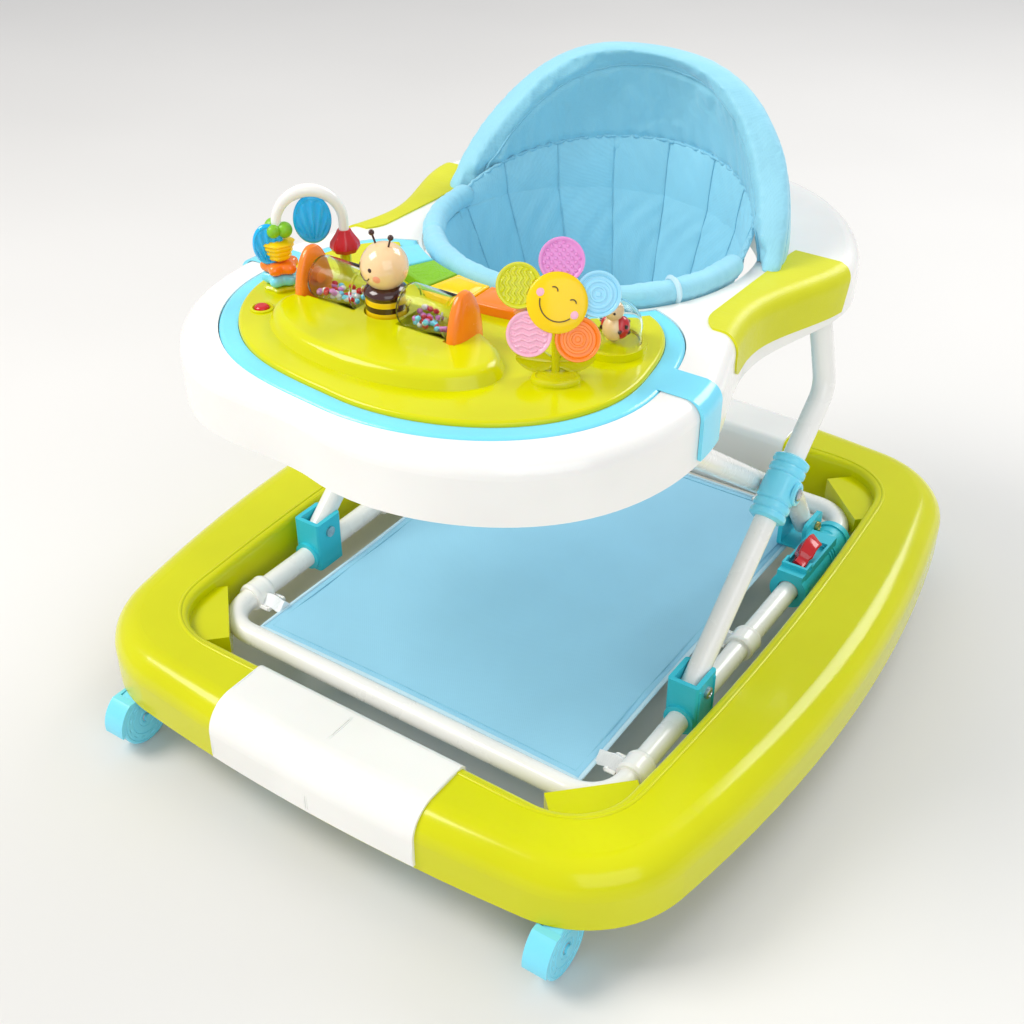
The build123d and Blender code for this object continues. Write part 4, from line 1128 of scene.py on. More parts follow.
class WALKER_OT_rim_roll(PieceOperator, bpy.types.Operator):
    """Make the padded roll round the front of the seat, gathered every few centimetres"""
    bl_idname = "walker.rim_roll"
    bl_label = "Rim Roll"

    def build(self):
        roll_r = 10.0
        roll_z = 414.0
        reach = box_mm("rim_roll")[1][0] - roll_r
        spread = math.radians(94)
        turn = np.linspace(-spread, spread, 300)
        gather = 0.045 * np.sin(turn * 23) + 0.03 * np.sin(turn * 61 + 1) + 0.02 * np.sin(turn * 97 + 2)
        pinch = 0.16 * np.exp(-((turn - 0.62) / 0.012) ** 2) + 0.12 * np.exp(-((turn + 0.9) / 0.015) ** 2)
        taper = np.clip((spread - np.abs(turn)) / 0.05, 0.25, 1) ** 0.5
        path = round_seat(reach, turn, roll_z + 0.3 * np.sin(turn * 9), -1)
        roll = swept(path, circle(roll_r, 28), scale=(0.98 + gather * 0.6 - pinch) * taper)
        soft = piece("padded_roll", roll, "seat_tray", finish("cloth_smooth"),
                     ["rim_roll"], 180)
        lower = round_seat(reach + 6.4, turn, 407.6, -1)
        welt = swept(lower[8:-8], circle(1.3, 10))
        piece("roll_welt", welt, "seat_tray", finish("thread"), (), 60)
        angle = 1.05
        centre = np.array([reach * math.sin(angle), SEAT_Y - reach * math.cos(angle), roll_z])
        out = np.array([math.sin(angle), -math.cos(angle), 0])
        wrap = np.radians(np.linspace(-35, 150, 24))
        band = centre + 10.5 * (np.cos(wrap)[:, None] * out + np.sin(wrap)[:, None] * np.array([0, 0, 1.0]))
        tab = swept(band, rounded_bar(5.0, 0.9, 0.3), up=np.cross(out, (0, 0, 1)))
        piece("roll_tab", tab, "seat_tray", finish("binding"), (), 60)


class WALKER_OT_backrest(PieceOperator, bpy.types.Operator):
    """Sew the padded backrest: a wide outer band, piping, and a puckered inner panel over the seat"""
    bl_idname = "walker.backrest"
    bl_label = "Backrest"

    foot_z = 410.0
    lean = math.tan(math.radians(34.0))
    brim_y = 67.0
    rear_seam_drop = 26.0            # how far below the brim the rear panel's seam runs

    def brim_height(self, turn, inset=0.0):
        """The height where the wall meets the brim's leaning plane at each turn from the rear, by halving."""
        low = np.full_like(turn, self.foot_z - 6.0)
        high = np.full_like(turn, CROWN_Z)
        for _ in range(30):
            z = (low + high) / 2
            y = SEAT_Y + (back_radius(z) - inset) * np.cos(turn)
            behind = y > self.brim_y + self.lean * (z - self.foot_z)
            low = np.where(behind, z, low)
            high = np.where(behind, high, z)
        return low

    def wall(self, turn, share, inset):
        """A point on the wall: turn from the rear, share of the way to the brim, inset from outside."""
        z = self.foot_z - 5 + (self.brim_height(turn) - self.foot_z - 1) * share
        radius = back_radius(z) - inset
        return round_seat(radius, turn, z, 1)

    def build(self):
        limit = math.radians(84.5)
        turn = np.linspace(-limit, limit, 97)[:, None]
        up = np.linspace(0, 1, 30)[None, :]
        around = np.linspace(0, math.pi, 9)[None, 1:-1]
        thick = 25.0
        thin = np.clip((limit - np.abs(turn)) / math.radians(5), 0.72, 1)
        outside = self.wall(turn, up, 1.5)
        inside = self.wall(turn, up[:, ::-1], thick * thin)
        brim_mid = (outside[:, -1:] + inside[:, :1]) / 2
        half = (outside[:, -1:] - inside[:, :1]) / 2
        lift = np.array([0.0, -0.35, 0.94])
        size = np.linalg.norm(half, axis=2, keepdims=True)
        over = brim_mid + half * np.cos(around)[..., None] + lift * size * 0.34 * np.sin(around)[..., None]
        loop = np.concatenate([outside, over, inside], 1)
        shell = grid_shell(loop, wrap_columns=True, caps=(True, True))
        pad = piece("padded_backrest", shell, None, finish("cloth"), (), 180)
        plumped(pad, 5.0, 3.2, 4.0)
        self.sew(pad)
        dressed(pad, "seat_tray", finish("cloth"), ["backrest"], 180, 1)
        self.trim(pad, limit, thick)

    def sew(self, pad):
        """Seams pressed into the pad: a point is pushed by its distance from the inner panel's outline,
        and puckers run off the seam, fading with the distance."""
        points = coords(pad)
        x = points[:, 0]
        y = points[:, 1] - SEAT_Y
        z = points[:, 2]
        turn = np.arctan2(x, y)
        radius = np.hypot(x, y)
        brim = self.brim_height(turn)
        inner = radius < back_radius(z) - 13
        gap = (brim - z) - self.band_drop(turn)
        groove = np.exp(-(gap / 3.2) ** 2) * inner
        puckers = np.sin(turn * 46 + 2.5 * np.sin(turn * 9)) * np.exp(-np.clip(gap, 0, None) / 22)
        puckers = puckers * (gap > 0) * inner
        above = z - seam_height(turn)
        low_seam = np.exp(-np.clip(above, 0, None) / 20) * np.sin(turn * 52 + 3 * np.sin(turn * 7)) * inner
        low_seam = low_seam + 2.2 * np.exp(-(above / 4.0) ** 2) * inner
        broad = np.sin(turn * 5.2 + 0.6) * np.sin((z - 400) / 26) * inner * (gap > 4)
        push = 2.6 * groove + 0.8 * puckers + 1.3 * low_seam + 0.9 * broad
        back = np.exp(-((brim - z - self.rear_seam_drop) / 2.6) ** 2) * (radius > back_radius(z) - 8)
        push = push - 1.8 * back
        step = np.stack([np.sin(turn), np.cos(turn), 0 * turn], -1)
        set_coords(pad, points + step * push[:, None])

    def band_drop(self, turn):
        """How far below the brim the band's seam runs: the band's width, shared out by the wall's slope."""
        return sizes().band * (0.72 + 0.28 * np.abs(np.sin(turn)))

    def trim(self, pad, limit, thick):
        """Piping laid on the finished pad: along the band's seam inside and the rear panel's seam outside."""
        surface = coords(pad)
        turn = np.linspace(-limit * 0.93, limit * 0.93, 260)
        z = self.brim_height(turn) - self.band_drop(turn)
        pipes = []
        for height, inset in ((z, thick + 2), (self.brim_height(turn) - self.rear_seam_drop, 0)):
            radius = back_radius(height) - inset
            line = round_seat(radius, turn, height, 1)
            stitch = 1 + 0.14 * np.sin(np.arange(260) * 1.9)
            pipes.append(swept(snapped(line, surface), circle(sizes().piping, 8), scale=stitch))
        piece("backrest_piping", joined(*pipes), "seat_tray", finish("thread"), (), 60)


# ---------------------------------------------------------------- toys
def lobed(lobes, depth):
    """A ripple that pushes a turned bead out and in, so many times a turn."""
    def ripple(turn, radius, height):
        return radius * depth * np.cos(turn * lobes), 0
    return ripple


class WALKER_OT_arch(PieceOperator, bpy.types.Operator):
    """Make the toy arch: white bow, ribbed wings, red knob, star pair, crown and lobed beads"""
    bl_idname = "walker.arch"
    bl_label = "Toy Arch"

    left = np.array([-146.0, -182.0])
    right = np.array([-108.0, -146.0])
    foot = PANEL_Z
    spring = 466.0

    def build(self):
        middle = (self.left + self.right) / 2
        half = np.linalg.norm(self.right - self.left) / 2
        across = (self.right - self.left) / (2 * half)
        turn = np.linspace(math.pi, 0, 40)
        bow = np.stack([middle[0] + across[0] * half * np.cos(turn),
                        middle[1] + across[1] * half * np.cos(turn),
                        self.spring + half * np.sin(turn)], -1)
        legs = np.linspace(self.foot, self.spring, 12)[:-1]
        rise = np.column_stack([np.tile(self.left, (len(legs), 1)), legs])
        fall = np.column_stack([np.tile(self.right, (len(legs), 1)), legs[::-1]])
        normal = np.array([across[1], -across[0], 0])
        line = np.vstack([rise, bow, fall])
        run = np.linspace(-1, 1, len(line))
        thicker = 1 + 0.35 * np.exp(-(run / 0.35) ** 2)
        piece("arch_bow", swept(line, circle(4.0, 20), up=normal, scale=thicker), "play_tray",
              finish("white"), ["arch"])
        cup = [(10.6, 0), (11.2, 1.2), (10.8, 3.0), (7, 4.6), (4.8, 9), (4.4, 16), (4.2, 26)]
        stand = moved(lathe(cup, 40, lobed(8, 0.03)), (*self.right, self.foot))
        plate = lathe([(24, -1.5), (24, 2.2), (22.6, 3.4), (20, 3.6), (19.2, 2.8), (2, 2.8)], 72)
        plate = moved(plate, (self.right[0] - 2, self.right[1] + 4, self.foot))
        base = lathe([(13, 0), (13.6, 2), (12, 3.6), (4.2, 3.8)], 60, lobed(6, 0.08))
        base = moved(base, (*self.left, self.foot))
        piece("arch_feet", joined(stand, plate, base), "play_tray", finish("leaf"))
        knob = [(4, 0), (10, 0.6), (12, 4), (11.4, 8), (8.4, 12.5), (6.2, 16), (5.4, 18), (4, 18.4)]
        knob = moved(lathe(np.array(knob), 72, lobed(8, 0.035)), (*self.right, self.foot + 27))
        piece("arch_knob", knob, "play_tray", finish("red"))
        self.wings(across, normal)
        self.beads()

    def wings(self, across, normal):
        """An oval plate: thickness falls to the rim as a square root, with ribs that fan from its foot."""
        reach = np.linspace(0.03, 1, 18)[:, None]
        turn = np.linspace(0, FULL_TURN, 72, endpoint=False)[None, :]
        x = reach * np.cos(turn)
        y = reach * np.sin(turn)
        body = 3.0 * np.sqrt(np.clip(1.02 - reach ** 2, 0, 1)) + 0 * turn
        ribs = 0.7 * np.cos(np.arctan2(x, y + 1.4) * 26) * (reach < 0.82)
        rim = 0.8 * np.exp(-((reach - 0.9) / 0.05) ** 2)
        front = np.stack([x, y, body + ribs + rim], -1)
        back = np.stack([x, y, -body - ribs - rim], -1)[::-1]
        grid = np.vstack([front, back])
        shells = []
        for spot, wide, tall in (((-124.0, -164.0, 469.0), 15.0, 20.0),
                                 ((-149.0, -190.0, 451.0), 12.0, 17.0)):
            shell = grid_shell(grid * (wide, tall, 1), wrap_columns=True, caps=(True, True))
            shells.append(turned(shell, (*across, 0), (0, 0, 1), normal, spot))
        piece("arch_wings", joined(*shells), "play_tray", finish("bright_blue"), (), 50)

    def beads(self):
        bulge = np.linspace(-math.pi / 2, math.pi / 2, 15)
        rounded = np.stack([9.4 + 4.4 * np.cos(bulge), 4.6 * np.sin(bulge)], -1)
        star = lathe(np.vstack([[(5, -4.6)], rounded, [(5, 4.6)]]), 96, lobed(5, 0.16))
        low = moved(star, (*self.left, self.foot + 8.8))
        high = moved(star, (*self.left, self.foot + 18.4))
        piece("star_sky", low, "arch_stars", finish("sky"), ["arch_stars"])
        piece("star_orange", high, "arch_stars", finish("orange"))
        step = np.linspace(0, 1, 40)
        puff = 8.0 + 4.6 * step + 1.1 * np.abs(np.sin(step * math.pi * 4))
        puff = puff - 4.0 * np.clip(step - 0.86, 0, 1) / 0.14
        crown = np.vstack([[(4.4, 0)], np.stack([puff, 0.2 + 16 * step], -1), [(4.4, 16.4)]])
        crown = moved(lathe(crown, 96, lobed(7, 0.035)), (*self.left, self.foot + 24.6))
        piece("crown_bead", crown, "arch_beads", finish("yellow"), ["arch_beads"])
        cap = moved(lathe([(4, 0), (5, 0), (5, 3), (4, 3.4)], 24), (*self.left, self.foot + 41))
        piece("crown_tip", cap, "arch_beads", finish("white"))
        lobes = [ball(7.2, (self.left[0] - 4.2, self.left[1] + 1, self.foot + 49.5)),
                 ball(6.4, (self.left[0] + 5.4, self.left[1] + 3, self.foot + 48.5)),
                 ball(5.4, (self.left[0] + 1.5, self.left[1] - 5.4, self.foot + 49.0))]
        piece("lobed_bead", joined(*lobes), "arch_beads", finish("green"))


class WALKER_OT_drums(PieceOperator, bpy.types.Operator):
    """Make the clear bead drums, their beads, and the end fins with their rods"""
    bl_idname = "walker.drums"
    bl_label = "Bead Drums"

    def build(self):
        self.fins()
        for node, seed in (("drum_left", 3), ("drum_right", 8)):
            low, high = box_mm(node)
            middle = (low + high) / 2
            half = (high[0] - low[0]) / 2
            outer = [(3.2, -half), (14, -half), (16.2, -half + 1), (17, -half + 3),
                     (17, half - 3), (16.2, half - 1), (14, half), (3.2, half)]
            inner = [(3.2, half - 1.3), (14, half - 1.3), (15.7, half - 3),
                     (15.7, -half + 3), (14, -half + 1.3), (3.2, -half + 1.3)]
            drum = on_x(turned_ring(outer + inner, 64), middle)
            piece("clear_" + node, drum, node, finish("clear"), [node], 30)
            self.fill(node, middle, half, seed)

    def fins(self):
        """Half an egg at each end, as its outline narrows with height; it is flatter on the drum's side."""
        lift = np.linspace(0, 1, 34)[:, None]
        turn = np.linspace(0, FULL_TURN, 56, endpoint=False)[None, :]
        outline = np.sqrt(np.clip(1 - lift ** 2, 0, 1))
        wide = 20.0 * outline * np.sign(np.sin(turn)) * np.abs(np.sin(turn)) ** 0.75
        deep = outline ** 0.6 * np.sign(np.cos(turn)) * np.abs(np.cos(turn)) ** 0.75
        deep = np.where(deep > 0, deep * 8.4, deep * 4.6)
        egg = np.stack([deep, wide, 45.0 * lift + 0 * turn], -1)
        egg = grid_shell(egg, wrap_columns=True, caps=(True, True))
        low, high = box_mm("roller_posts")
        right = moved(egg, (high[0] - 5.2, TOY_ROW_Y, PANEL_Z + 2))
        left = moved(mirrored(egg), (low[0] + 5.2, TOY_ROW_Y, PANEL_Z + 2))
        rods = []
        for x0, x1 in ((low[0] + 8, low[0] + 14), (high[0] - 14, high[0] - 8)):
            rods.append(swept([(x0, TOY_ROW_Y, DRUM_Z), (x1, TOY_ROW_Y, DRUM_Z)], circle(5.5, 24)))
        piece("drum_fins", joined(left, right, *rods), "play_tray", finish("orange"),
              ["roller_posts"])

    def fill(self, node, middle, half, seed):
        """Beads heaped along the drum's underside: rows on rings of turn, jittered by a seeded draw."""
        draw = np.random.default_rng(seed)
        count = sizes().beads
        along = draw.uniform(-half + 4, half - 4, count)
        turn = draw.normal(0, 0.55, count).clip(-1.1, 1.1)
        depth = draw.uniform(9.5, 13.1, count)
        spots = middle + np.stack([along, depth * np.sin(turn), -depth * np.cos(turn)], -1)
        for k, shade in enumerate(("pink", "sky", "white", "red")):
            shells = [ball(2.2, spot, 8, 12) for spot in spots[k::4]]
            piece(node + "_beads_" + shade, joined(*shells), node, finish(shade), (), 60)


class WALKER_OT_bee(PieceOperator, bpy.types.Operator):
    """Make the bee: banded body, brown shoulders, round head, antennae and a plain drawn face"""
    bl_idname = "walker.bee"
    bl_label = "Bee"

    def build(self):
        centre = np.array([-35.0, TOY_ROW_Y, 0.0])
        tall = np.linspace(415.4, 437.0, 24)
        side_wall = np.stack([np.full(24, 16.0), tall], -1)
        body = np.vstack([[(4, 414.4), (15.2, 414.4)], side_wall, [(15.6, 437.6), (4, 438)]])
        piece("bee_body", moved(lathe(body, 64), centre), "bee", finish("bee_bands"), ["bee"])
        lat = np.radians(np.linspace(-62, 74, 18))
        shoulder = np.stack([17.2 * np.cos(lat), 440.5 + 8.6 * np.sin(lat)], -1)
        shoulders = moved(lathe(shoulder, 64), centre)
        piece("bee_shoulders", shoulders, "bee", finish("brown"), (), 60)
        head = centre + (0, 0, 461.0)
        piece("bee_head", ball(18.4, head, 28, 48), "bee", finish("tan"), (), 60)
        feelers = []
        for side in (-1, 1):
            tip = head + (side * 9.0, -2.0, 25.0)
            base = head + (side * 6.0, -1.5, 16.6)
            feelers.append(swept(np.linspace(base, tip, 6), circle(0.8, 8), up=(0, 1, 0)))
            feelers.append(ball(2.3, tip, 8, 14))
        piece("bee_feelers", joined(*feelers), "bee", finish("ink"), (), 60)
        facing = math.radians(-22)
        marks, blush = [], []
        for turn_by in (-0.42, 0.42):
            marks.append(self.on_head(head, facing + turn_by, 0.16, 1.7))
            blush.append(self.on_head(head, facing + turn_by * 1.7, -0.2, 3.0))
        run = np.linspace(-0.36, 0.36, 24)
        dip = -0.42 + run ** 2 * 1.6
        smile = np.stack([np.sin(facing + run) * np.cos(dip), -np.cos(facing + run) * np.cos(dip),
                          np.sin(dip)], -1) * 18.5 + head
        marks.append(swept(smile, circle(0.45, 6)))
        piece("bee_face", joined(*marks), "bee", finish("ink"), (), 60)
        piece("bee_cheeks", joined(*blush), "bee", finish("blush"), (), 60)

    def on_head(self, head, turn, lift, size):
        out = np.array([math.sin(turn) * math.cos(lift), -math.cos(turn) * math.cos(lift), math.sin(lift)])
        across = np.cross((0, 0, 1), out)
        across = across / np.linalg.norm(across)
        dot = lathe([(0.3, 0.5), (size * 0.7, 0.4), (size, 0), (size * 0.9, -0.6), (0.3, -0.6)], 20)
        return turned(dot, across, np.cross(out, across), out, head + out * 18.3)


FLOWER_TURN = math.radians(34.0)
FLOWER_TILT = math.radians(25.0)


def flower_axes():
    """The flower's right, up and facing directions: it turns about Z, then tips back."""
    turn = FLOWER_TURN
    tilt = FLOWER_TILT
    right = np.array([math.cos(turn), math.sin(turn), 0])
    facing = np.array([math.sin(turn) * math.cos(tilt), -math.cos(turn) * math.cos(tilt), math.sin(tilt)])
    return right, np.cross(facing, right), facing


class WALKER_OT_flower(PieceOperator, bpy.types.Operator):
    """Make the flower: a smiling face, five petals each with its own relief, and a leafed stem"""
    bl_idname = "walker.flower"
    bl_label = "Flower"

    centre = np.array([119.0, -188.0, 474.0])

    def petal(self, angle, relief):
        """A round plate: a raised rim, and a relief that is a function of the place on it."""
        reach = np.linspace(0.2, 16.0, 34)[:, None]
        turn = np.linspace(0, FULL_TURN, 84, endpoint=False)[None, :]
        x = reach * np.cos(turn)
        y = reach * np.sin(turn)
        rim = 1.1 / (1 + np.exp(-(reach - 13.6) * 3)) * (reach < 15.7)
        face = 1.4 + rim + np.where(reach < 12.8, relief(x, y), 0) + 0 * turn
        grid = np.stack([x, y, face], -1)
        back = np.stack([x, y, np.full_like(x, -1.4)], -1)[::-1]
        disc = grid_shell(np.vstack([grid, back]), wrap_columns=True, caps=(True, True))
        reach = 28.8
        return moved(disc, (reach * math.cos(angle), reach * math.sin(angle), 0))

    def build(self):
        right, up, facing = flower_axes()

        def dots(x, y):
            return 0.9 * ((np.sin(x * 1.15) * np.sin(y * 1.15)) > 0.45)

        def rings(x, y):
            return 0.7 * (np.sin(np.hypot(x, y) * 1.55) > 0.25)

        def zigzag(x, y):
            return 0.8 * (np.sin(y * 1.5 + 2.2 * np.abs((x / 5) % 2 - 1) * 1.4) > 0.2)

        def waves(x, y):
            return 0.8 * (np.sin(x * 1.5 + 1.5 * np.sin(y * 0.9)) > 0.2)

        petals = ((84, "pink", dots, None), (12, "petal_blue", rings, "sky_plastic"),
                  (-60, "orange", rings, "orange_plastic"), (-132, "pale_pink", zigzag, None),
                  (156, "leaf", waves, "lime_plastic"))
        for degrees, shade, relief, slot in petals:
            disc = self.petal(math.radians(degrees), relief)
            placed = turned(disc, right, up, facing, self.centre + facing * 1.0)
            piece("petal_" + shade, placed, "flower_head", finish(shade), (), 28)
        lat = np.radians(np.linspace(90, 4, 16))
        dome = np.stack([21.2 * np.cos(lat), 3.4 + 3.2 * np.sin(lat)], -1)
        rim = [(21.2, 3.4), (21.2, 2.4), (20.0, 1.8), (20.0, -1.5), (4.0, -1.6)]
        face = turned(lathe(np.vstack([dome, rim]), 72), right, up, facing, self.centre)
        piece("flower_face", face, "flower_head", finish("yellow"), ["flower_head"])
        self.draw_face(right, up, facing)
        self.stem()

    def on_face(self, x, y):
        """A height on the domed face, a little proud of it."""
        return 3.55 + 3.2 * np.sqrt(np.clip(1 - (np.hypot(x, y) / 21.2) ** 2, 0, 1))

    def draw_face(self, right, up, facing):
        """Two closed eyes, a smile and two cheeks, rolled in the face's own plane."""
        roll = math.radians(-34.0)
        right, up = (math.cos(roll) * right + math.sin(roll) * up,
                     math.cos(roll) * up - math.sin(roll) * right)
        lines = []
        arcs = ((-6.6, 5.6, 2.6, 150, 20), (8.8, 5.4, 2.6, 160, 30), (0.8, 1.0, 13.4, 202, 338))
        for x0, y0, radius, start, end in arcs:
            arc = arc_points((x0, y0), radius, start, end, 36)
            path = np.stack([arc[:, 0], arc[:, 1], self.on_face(arc[:, 0], arc[:, 1])], -1)
            lines.append(swept(path, circle(0.42, 6)))
        smile = turned(joined(*lines), right, up, facing, self.centre)
        piece("flower_smile", smile, "flower_head", finish("ink"), (), 60)
        cheeks = []
        for x0 in (-13.6, 14.2):
            dot = lathe([(0.3, 0.35), (2.2, 0.3), (2.9, 0), (2.6, -0.8), (0.3, -0.8)], 24)
            cheeks.append(moved(dot, (x0, -0.4, float(self.on_face(np.array(x0), np.array(-0.4))) - 0.1)))
        piece("flower_cheeks", turned(joined(*cheeks), right, up, facing, self.centre), "flower_head",
              finish("pale_pink"), (), 60)

    def stem(self):
        """Two leaves fan from the stem: a leaf's half-width is a sine of the way along it, round a vein."""
        right, _, facing = flower_axes()
        flat_facing = np.array([math.sin(FLOWER_TURN), -math.cos(FLOWER_TURN), 0])
        back = self.centre - facing * 9
        foot = np.array([back[0], back[1], PANEL_Z])
        shells = []
        path = np.stack([foot + np.array([0, 0, h]) for h in np.linspace(3, 52, 20)])
        shells.append(swept(path, circle(3.2, 16), up=(0, 1, 0)))
        hub = np.linspace(back - facing * 4, back + facing * 8, 6)
        shells.append(swept(hub, circle(6.0, 24), up=(0, 0, 1)))
        along = np.linspace(0.02, 0.98, 30)[:, None]
        across = np.linspace(-1, 1, 21)[None, :]
        width = 9.4 * np.sin(along * math.pi) ** 0.7
        for side in (-1, 1):
            reach = 1 + 28 * along
            x = side * reach + 0 * across
            lift = 11 + 4 * along ** 1.3 + width * across
            vein = 0.7 * np.exp(-(across / 0.09) ** 2) + 0.4 * (np.abs(across) > 0.86)
            front = np.stack([x, lift, 1.3 + vein + 0 * along], -1)
            rear = np.stack([x, lift, np.full_like(x, -1.3)], -1)[:, ::-1]
            loop = np.concatenate([front, rear], 1)
            leaf = grid_shell(loop, wrap_columns=True, caps=(True, True))
            shells.append(turned(leaf, right, (0, 0, 1), flat_facing, foot))
        oval = lathe([(2, 0), (17, 0), (17.4, 2), (16.4, 4), (14.0, 4.6), (13.2, 3.8), (2, 3.8)], 64)
        oval = (oval[0] * (1.05, 0.75, 1), oval[1])
        shells.append(turned(oval, right, flat_facing, (0, 0, 1), (*self.centre[:2], PANEL_Z)))
        piece("leafed_stem", joined(*shells), "play_tray", finish("leaf"),
              ["flower_stem"], 40)


class WALKER_OT_dome(PieceOperator, bpy.types.Operator):
    """Make the clear dome and the ladybug that turns inside it"""
    bl_idname = "walker.dome"
    bl_label = "Dome and Ladybug"

    spot = np.array([126.0, -121.0, 0.0])

    def build(self):
        lat = np.radians(np.linspace(0, 88, 20))
        outer = np.stack([22 * np.cos(lat), 429 + 22 * np.sin(lat)], -1)
        inner = np.stack([20.8 * np.cos(lat), 429 + 20.8 * np.sin(lat)], -1)[::-1]
        loop = np.vstack([[(22, 417.2)], outer, inner, [(20.8, 417.2)]])
        shell = moved(turned_ring(loop, 72), self.spot)
        piece("clear_dome", shell, "play_tray", finish("clear"), ["dome"], 40)
        belly = ball(10, self.spot + (0, 0, 428.2), 20, 32, (0.85, 0.8, 1.0))
        head = ball(7.6, self.spot + (0, 0, 442.5), 20, 32)
        piece("ladybug_body", joined(belly, head), "ladybug", finish("tan"), ["ladybug"], 60)
        wings, dots = [], []
        for side in (-1, 1):
            centre = self.spot + (side * 5.2, 3.0, 429.0)
            wings.append(ball(8.4, centre, 20, 28, (0.72, 0.9, 1.05)))
            for dx, dy, dz in ((0.85, -0.3, 0.3), (0.9, 0.2, -0.4), (0.35, -0.75, -0.05), (0.3, 0.8, 0.3)):
                out = np.array([side * dx, dy, dz])
                out = out / np.linalg.norm(out)
                dots.append(ball(1.7, centre + out * 8.0 * (0.74, 0.92, 1.05), 6, 12))
        piece("ladybug_wings", joined(*wings), "ladybug", finish("red"), (), 60)
        eye = [ball(1.0, self.spot + (side * 2.6 + 2, -7.0, 443.6), 6, 12) for side in (-1, 1)]
        piece("ladybug_dots", joined(*dots, *eye), "ladybug", finish("ink"), (), 60)


class WALKER_OT_keys(PieceOperator, bpy.types.Operator):
    """Add the raised relief on the keys and the ring round the button"""
    bl_idname = "walker.keys"
    bl_label = "Keys"

    pads = (("sky", 1.2), ("green", 2.0), ("yellow", 4.4), ("orange", 1.6))     # shade and rise of each pad

    def build(self):
        pitch = math.radians(13.0)
        first = math.radians(-12.5) - 1.5 * pitch
        base_z = 419.2
        for number, (shade, height) in enumerate(self.pads, 1):
            angle = first + (number - 1) * pitch
            across = np.linspace(-1, 1, 34)[:, None]
            along = np.linspace(-1, 1, 40)[None, :]
            turn = angle + across * (pitch / 2 - 0.014)
            radius = 169.2 + along * 13.6
            dome = height * (1 - np.abs(across) ** 3.2) * (1 - np.abs(along) ** 3.2)
            if shade == "green":
                pebbles = np.sin(across * 16 + 3 * np.sin(along * 5)) * np.sin(along * 21) > 0.1
                dome = dome + 0.5 * pebbles * (dome > 0.6)
            top = round_seat(radius, turn, 420.2 + dome, -1)
            lower = grid_shell(top * (1, 1, 0) + (0, 0, base_z))
            rim = grid_rim(top)
            skirt = grid_shell(np.stack([rim, rim * (1, 1, 0) + (0, 0, base_z)]), wrap_columns=True)
            piece("key_pad_%d" % number, joined(grid_shell(top), lower, skirt), "key_%d" % number,
                  finish(shade), (), 40)
        rows = [(7.0, 413.0), (9.2, 413.0), (9.2, 414.0), (8.4, 414.6), (7.4, 414.6), (7.0, 414.0)]
        piece("button_ring", moved(turned_ring(rows, 48), (-132, -221, 0)), "play_tray", finish("lime"),
              (), 40)


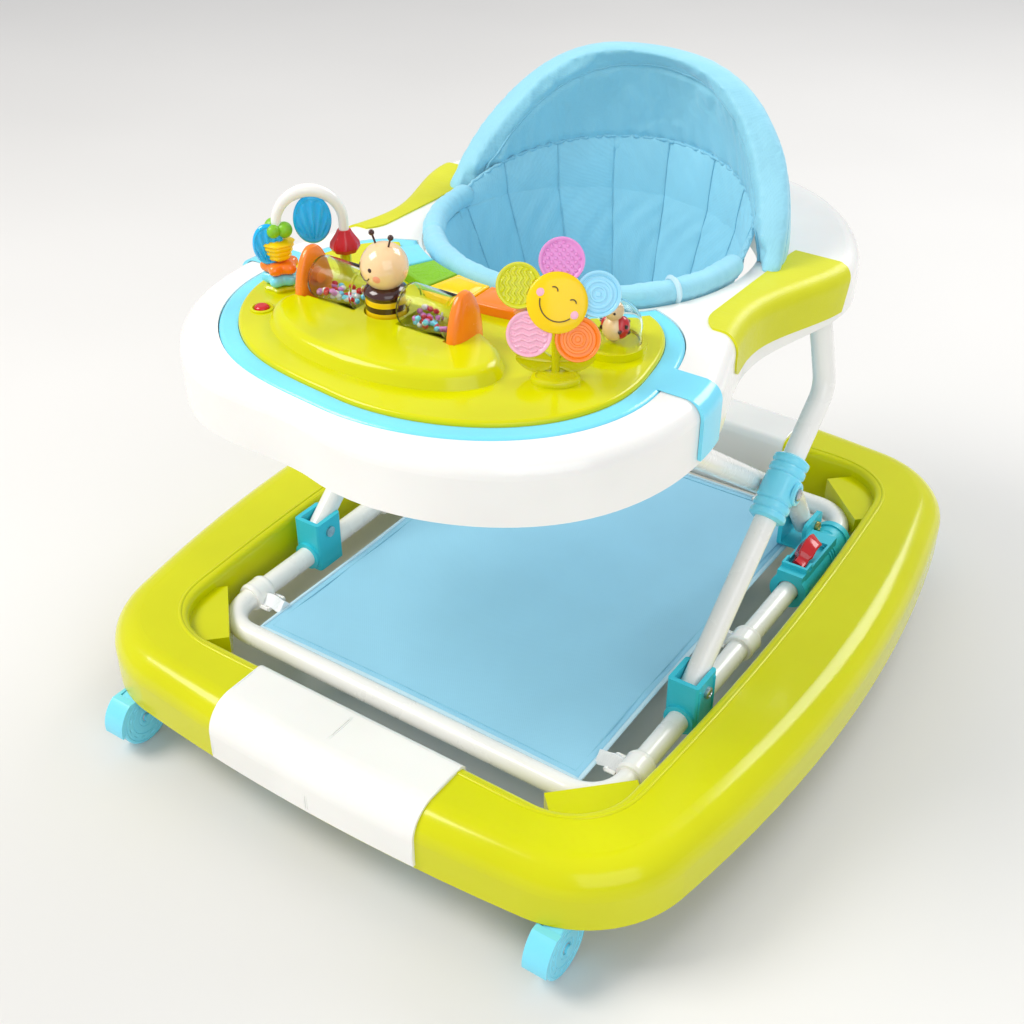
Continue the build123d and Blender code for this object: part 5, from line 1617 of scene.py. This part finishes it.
# ---------------------------------------------------------------- stage
class WALKER_OT_stage(PieceOperator, bpy.types.Operator):
    """Set the pale floor, soft lights and the camera"""
    bl_idname = "walker.stage"
    bl_label = "Stage"

    def build(self):
        scene = bpy.context.scene
        scene.view_settings.view_transform = "Standard"
        made = Finish("pale_floor", srgb(226, 224, 220), 0.75)
        made.shade(0.02, 1.5)
        made.bump(made.noise(60, 3.0), 0.04, 0.002)
        run = np.linspace(-4000, 4000, 9)
        x, y = np.meshgrid(run, run, indexing="ij")
        floor = piece("floor", grid_shell(np.stack([x, y, 0 * x - 0.2], -1)), None, made.material)
        for name, place, aim, energy, size, tint in (
                ("key_light", (-1.5, -1.3, 2.3), (0, 0, 0.25), 50, 1.3, (1.0, 0.97, 0.92)),
                ("fill_light", (1.9, -1.5, 1.5), (0, 0, 0.25), 20, 2.0, (0.93, 0.97, 1.0)),
                ("back_light", (0.6, 2.0, 2.0), (0, 0, 0.3), 30, 1.2, (1.0, 1.0, 1.0))):
            light = bpy.data.lights.new(name, "AREA")
            light.energy = energy
            light.size = size
            light.color = tint
            lamp = bpy.data.objects.new(name, light)
            lamp.location = place
            lamp.rotation_euler = (Vector(aim) - Vector(place)).to_track_quat("-Z", "Y").to_euler()
            scene.collection.objects.link(lamp)
        world = bpy.data.worlds.new("soft_sky")
        world.use_nodes = True
        world.node_tree.nodes["Background"].inputs["Color"].default_value = (0.93, 0.95, 1.0, 1)
        world.node_tree.nodes["Background"].inputs["Strength"].default_value = 0.62
        scene.world = world
        camera = bpy.data.objects.new("camera", bpy.data.cameras.new("camera"))
        camera.data.lens = 48.9
        camera.data.sensor_width = 36
        azimuth = math.radians(34.3)
        elevation = math.radians(34.7)
        back = Vector((math.sin(azimuth) * math.cos(elevation), -math.cos(azimuth) * math.cos(elevation),
                       math.sin(elevation)))
        camera.location = (0.5825, -0.9225, 0.900)
        camera.rotation_euler = (-back).to_track_quat("-Z", "Y").to_euler()
        scene.collection.objects.link(camera)
        scene.camera = camera


OPERATORS = (WALKER_OT_cad_finishes, WALKER_OT_screws, WALKER_OT_wheels, WALKER_OT_barrels,
             WALKER_OT_latches, WALKER_OT_slider_detail, WALKER_OT_pads, WALKER_OT_ring_lip,
             WALKER_OT_grips, WALKER_OT_mat, WALKER_OT_sling, WALKER_OT_back_liner, WALKER_OT_rim_roll,
             WALKER_OT_backrest, WALKER_OT_arch, WALKER_OT_drums, WALKER_OT_bee, WALKER_OT_flower,
             WALKER_OT_dome, WALKER_OT_keys, WALKER_OT_stage)


class WALKER_PT_panel(bpy.types.Panel):
    """Lists the walker's operators and settings"""
    bl_label = "Baby Walker"
    bl_idname = "WALKER_PT_panel"
    bl_space_type = "VIEW_3D"
    bl_region_type = "UI"
    bl_category = "Baby Walker"

    def draw(self, context):
        for operator in OPERATORS:
            self.layout.operator(operator.bl_idname)
        for group in (context.scene.walker_sizes, context.scene.walker_colours):
            for key in group.__annotations__:
                self.layout.prop(group, key)


CLASSES = (WalkerColours, WalkerSizes, *OPERATORS, WALKER_PT_panel)


def register():
    for item in CLASSES:
        bpy.utils.register_class(item)
    bpy.types.Scene.walker_colours = PointerProperty(type=WalkerColours)
    bpy.types.Scene.walker_sizes = PointerProperty(type=WalkerSizes)


def unregister():
    del bpy.types.Scene.walker_sizes
    del bpy.types.Scene.walker_colours
    for item in reversed(CLASSES):
        bpy.utils.unregister_class(item)


def main():
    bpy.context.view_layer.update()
    register()
    for operator in OPERATORS:
        name = operator.bl_idname.split(".")[1]
        getattr(bpy.ops.walker, name)()


if __name__ == "__main__":
    main()
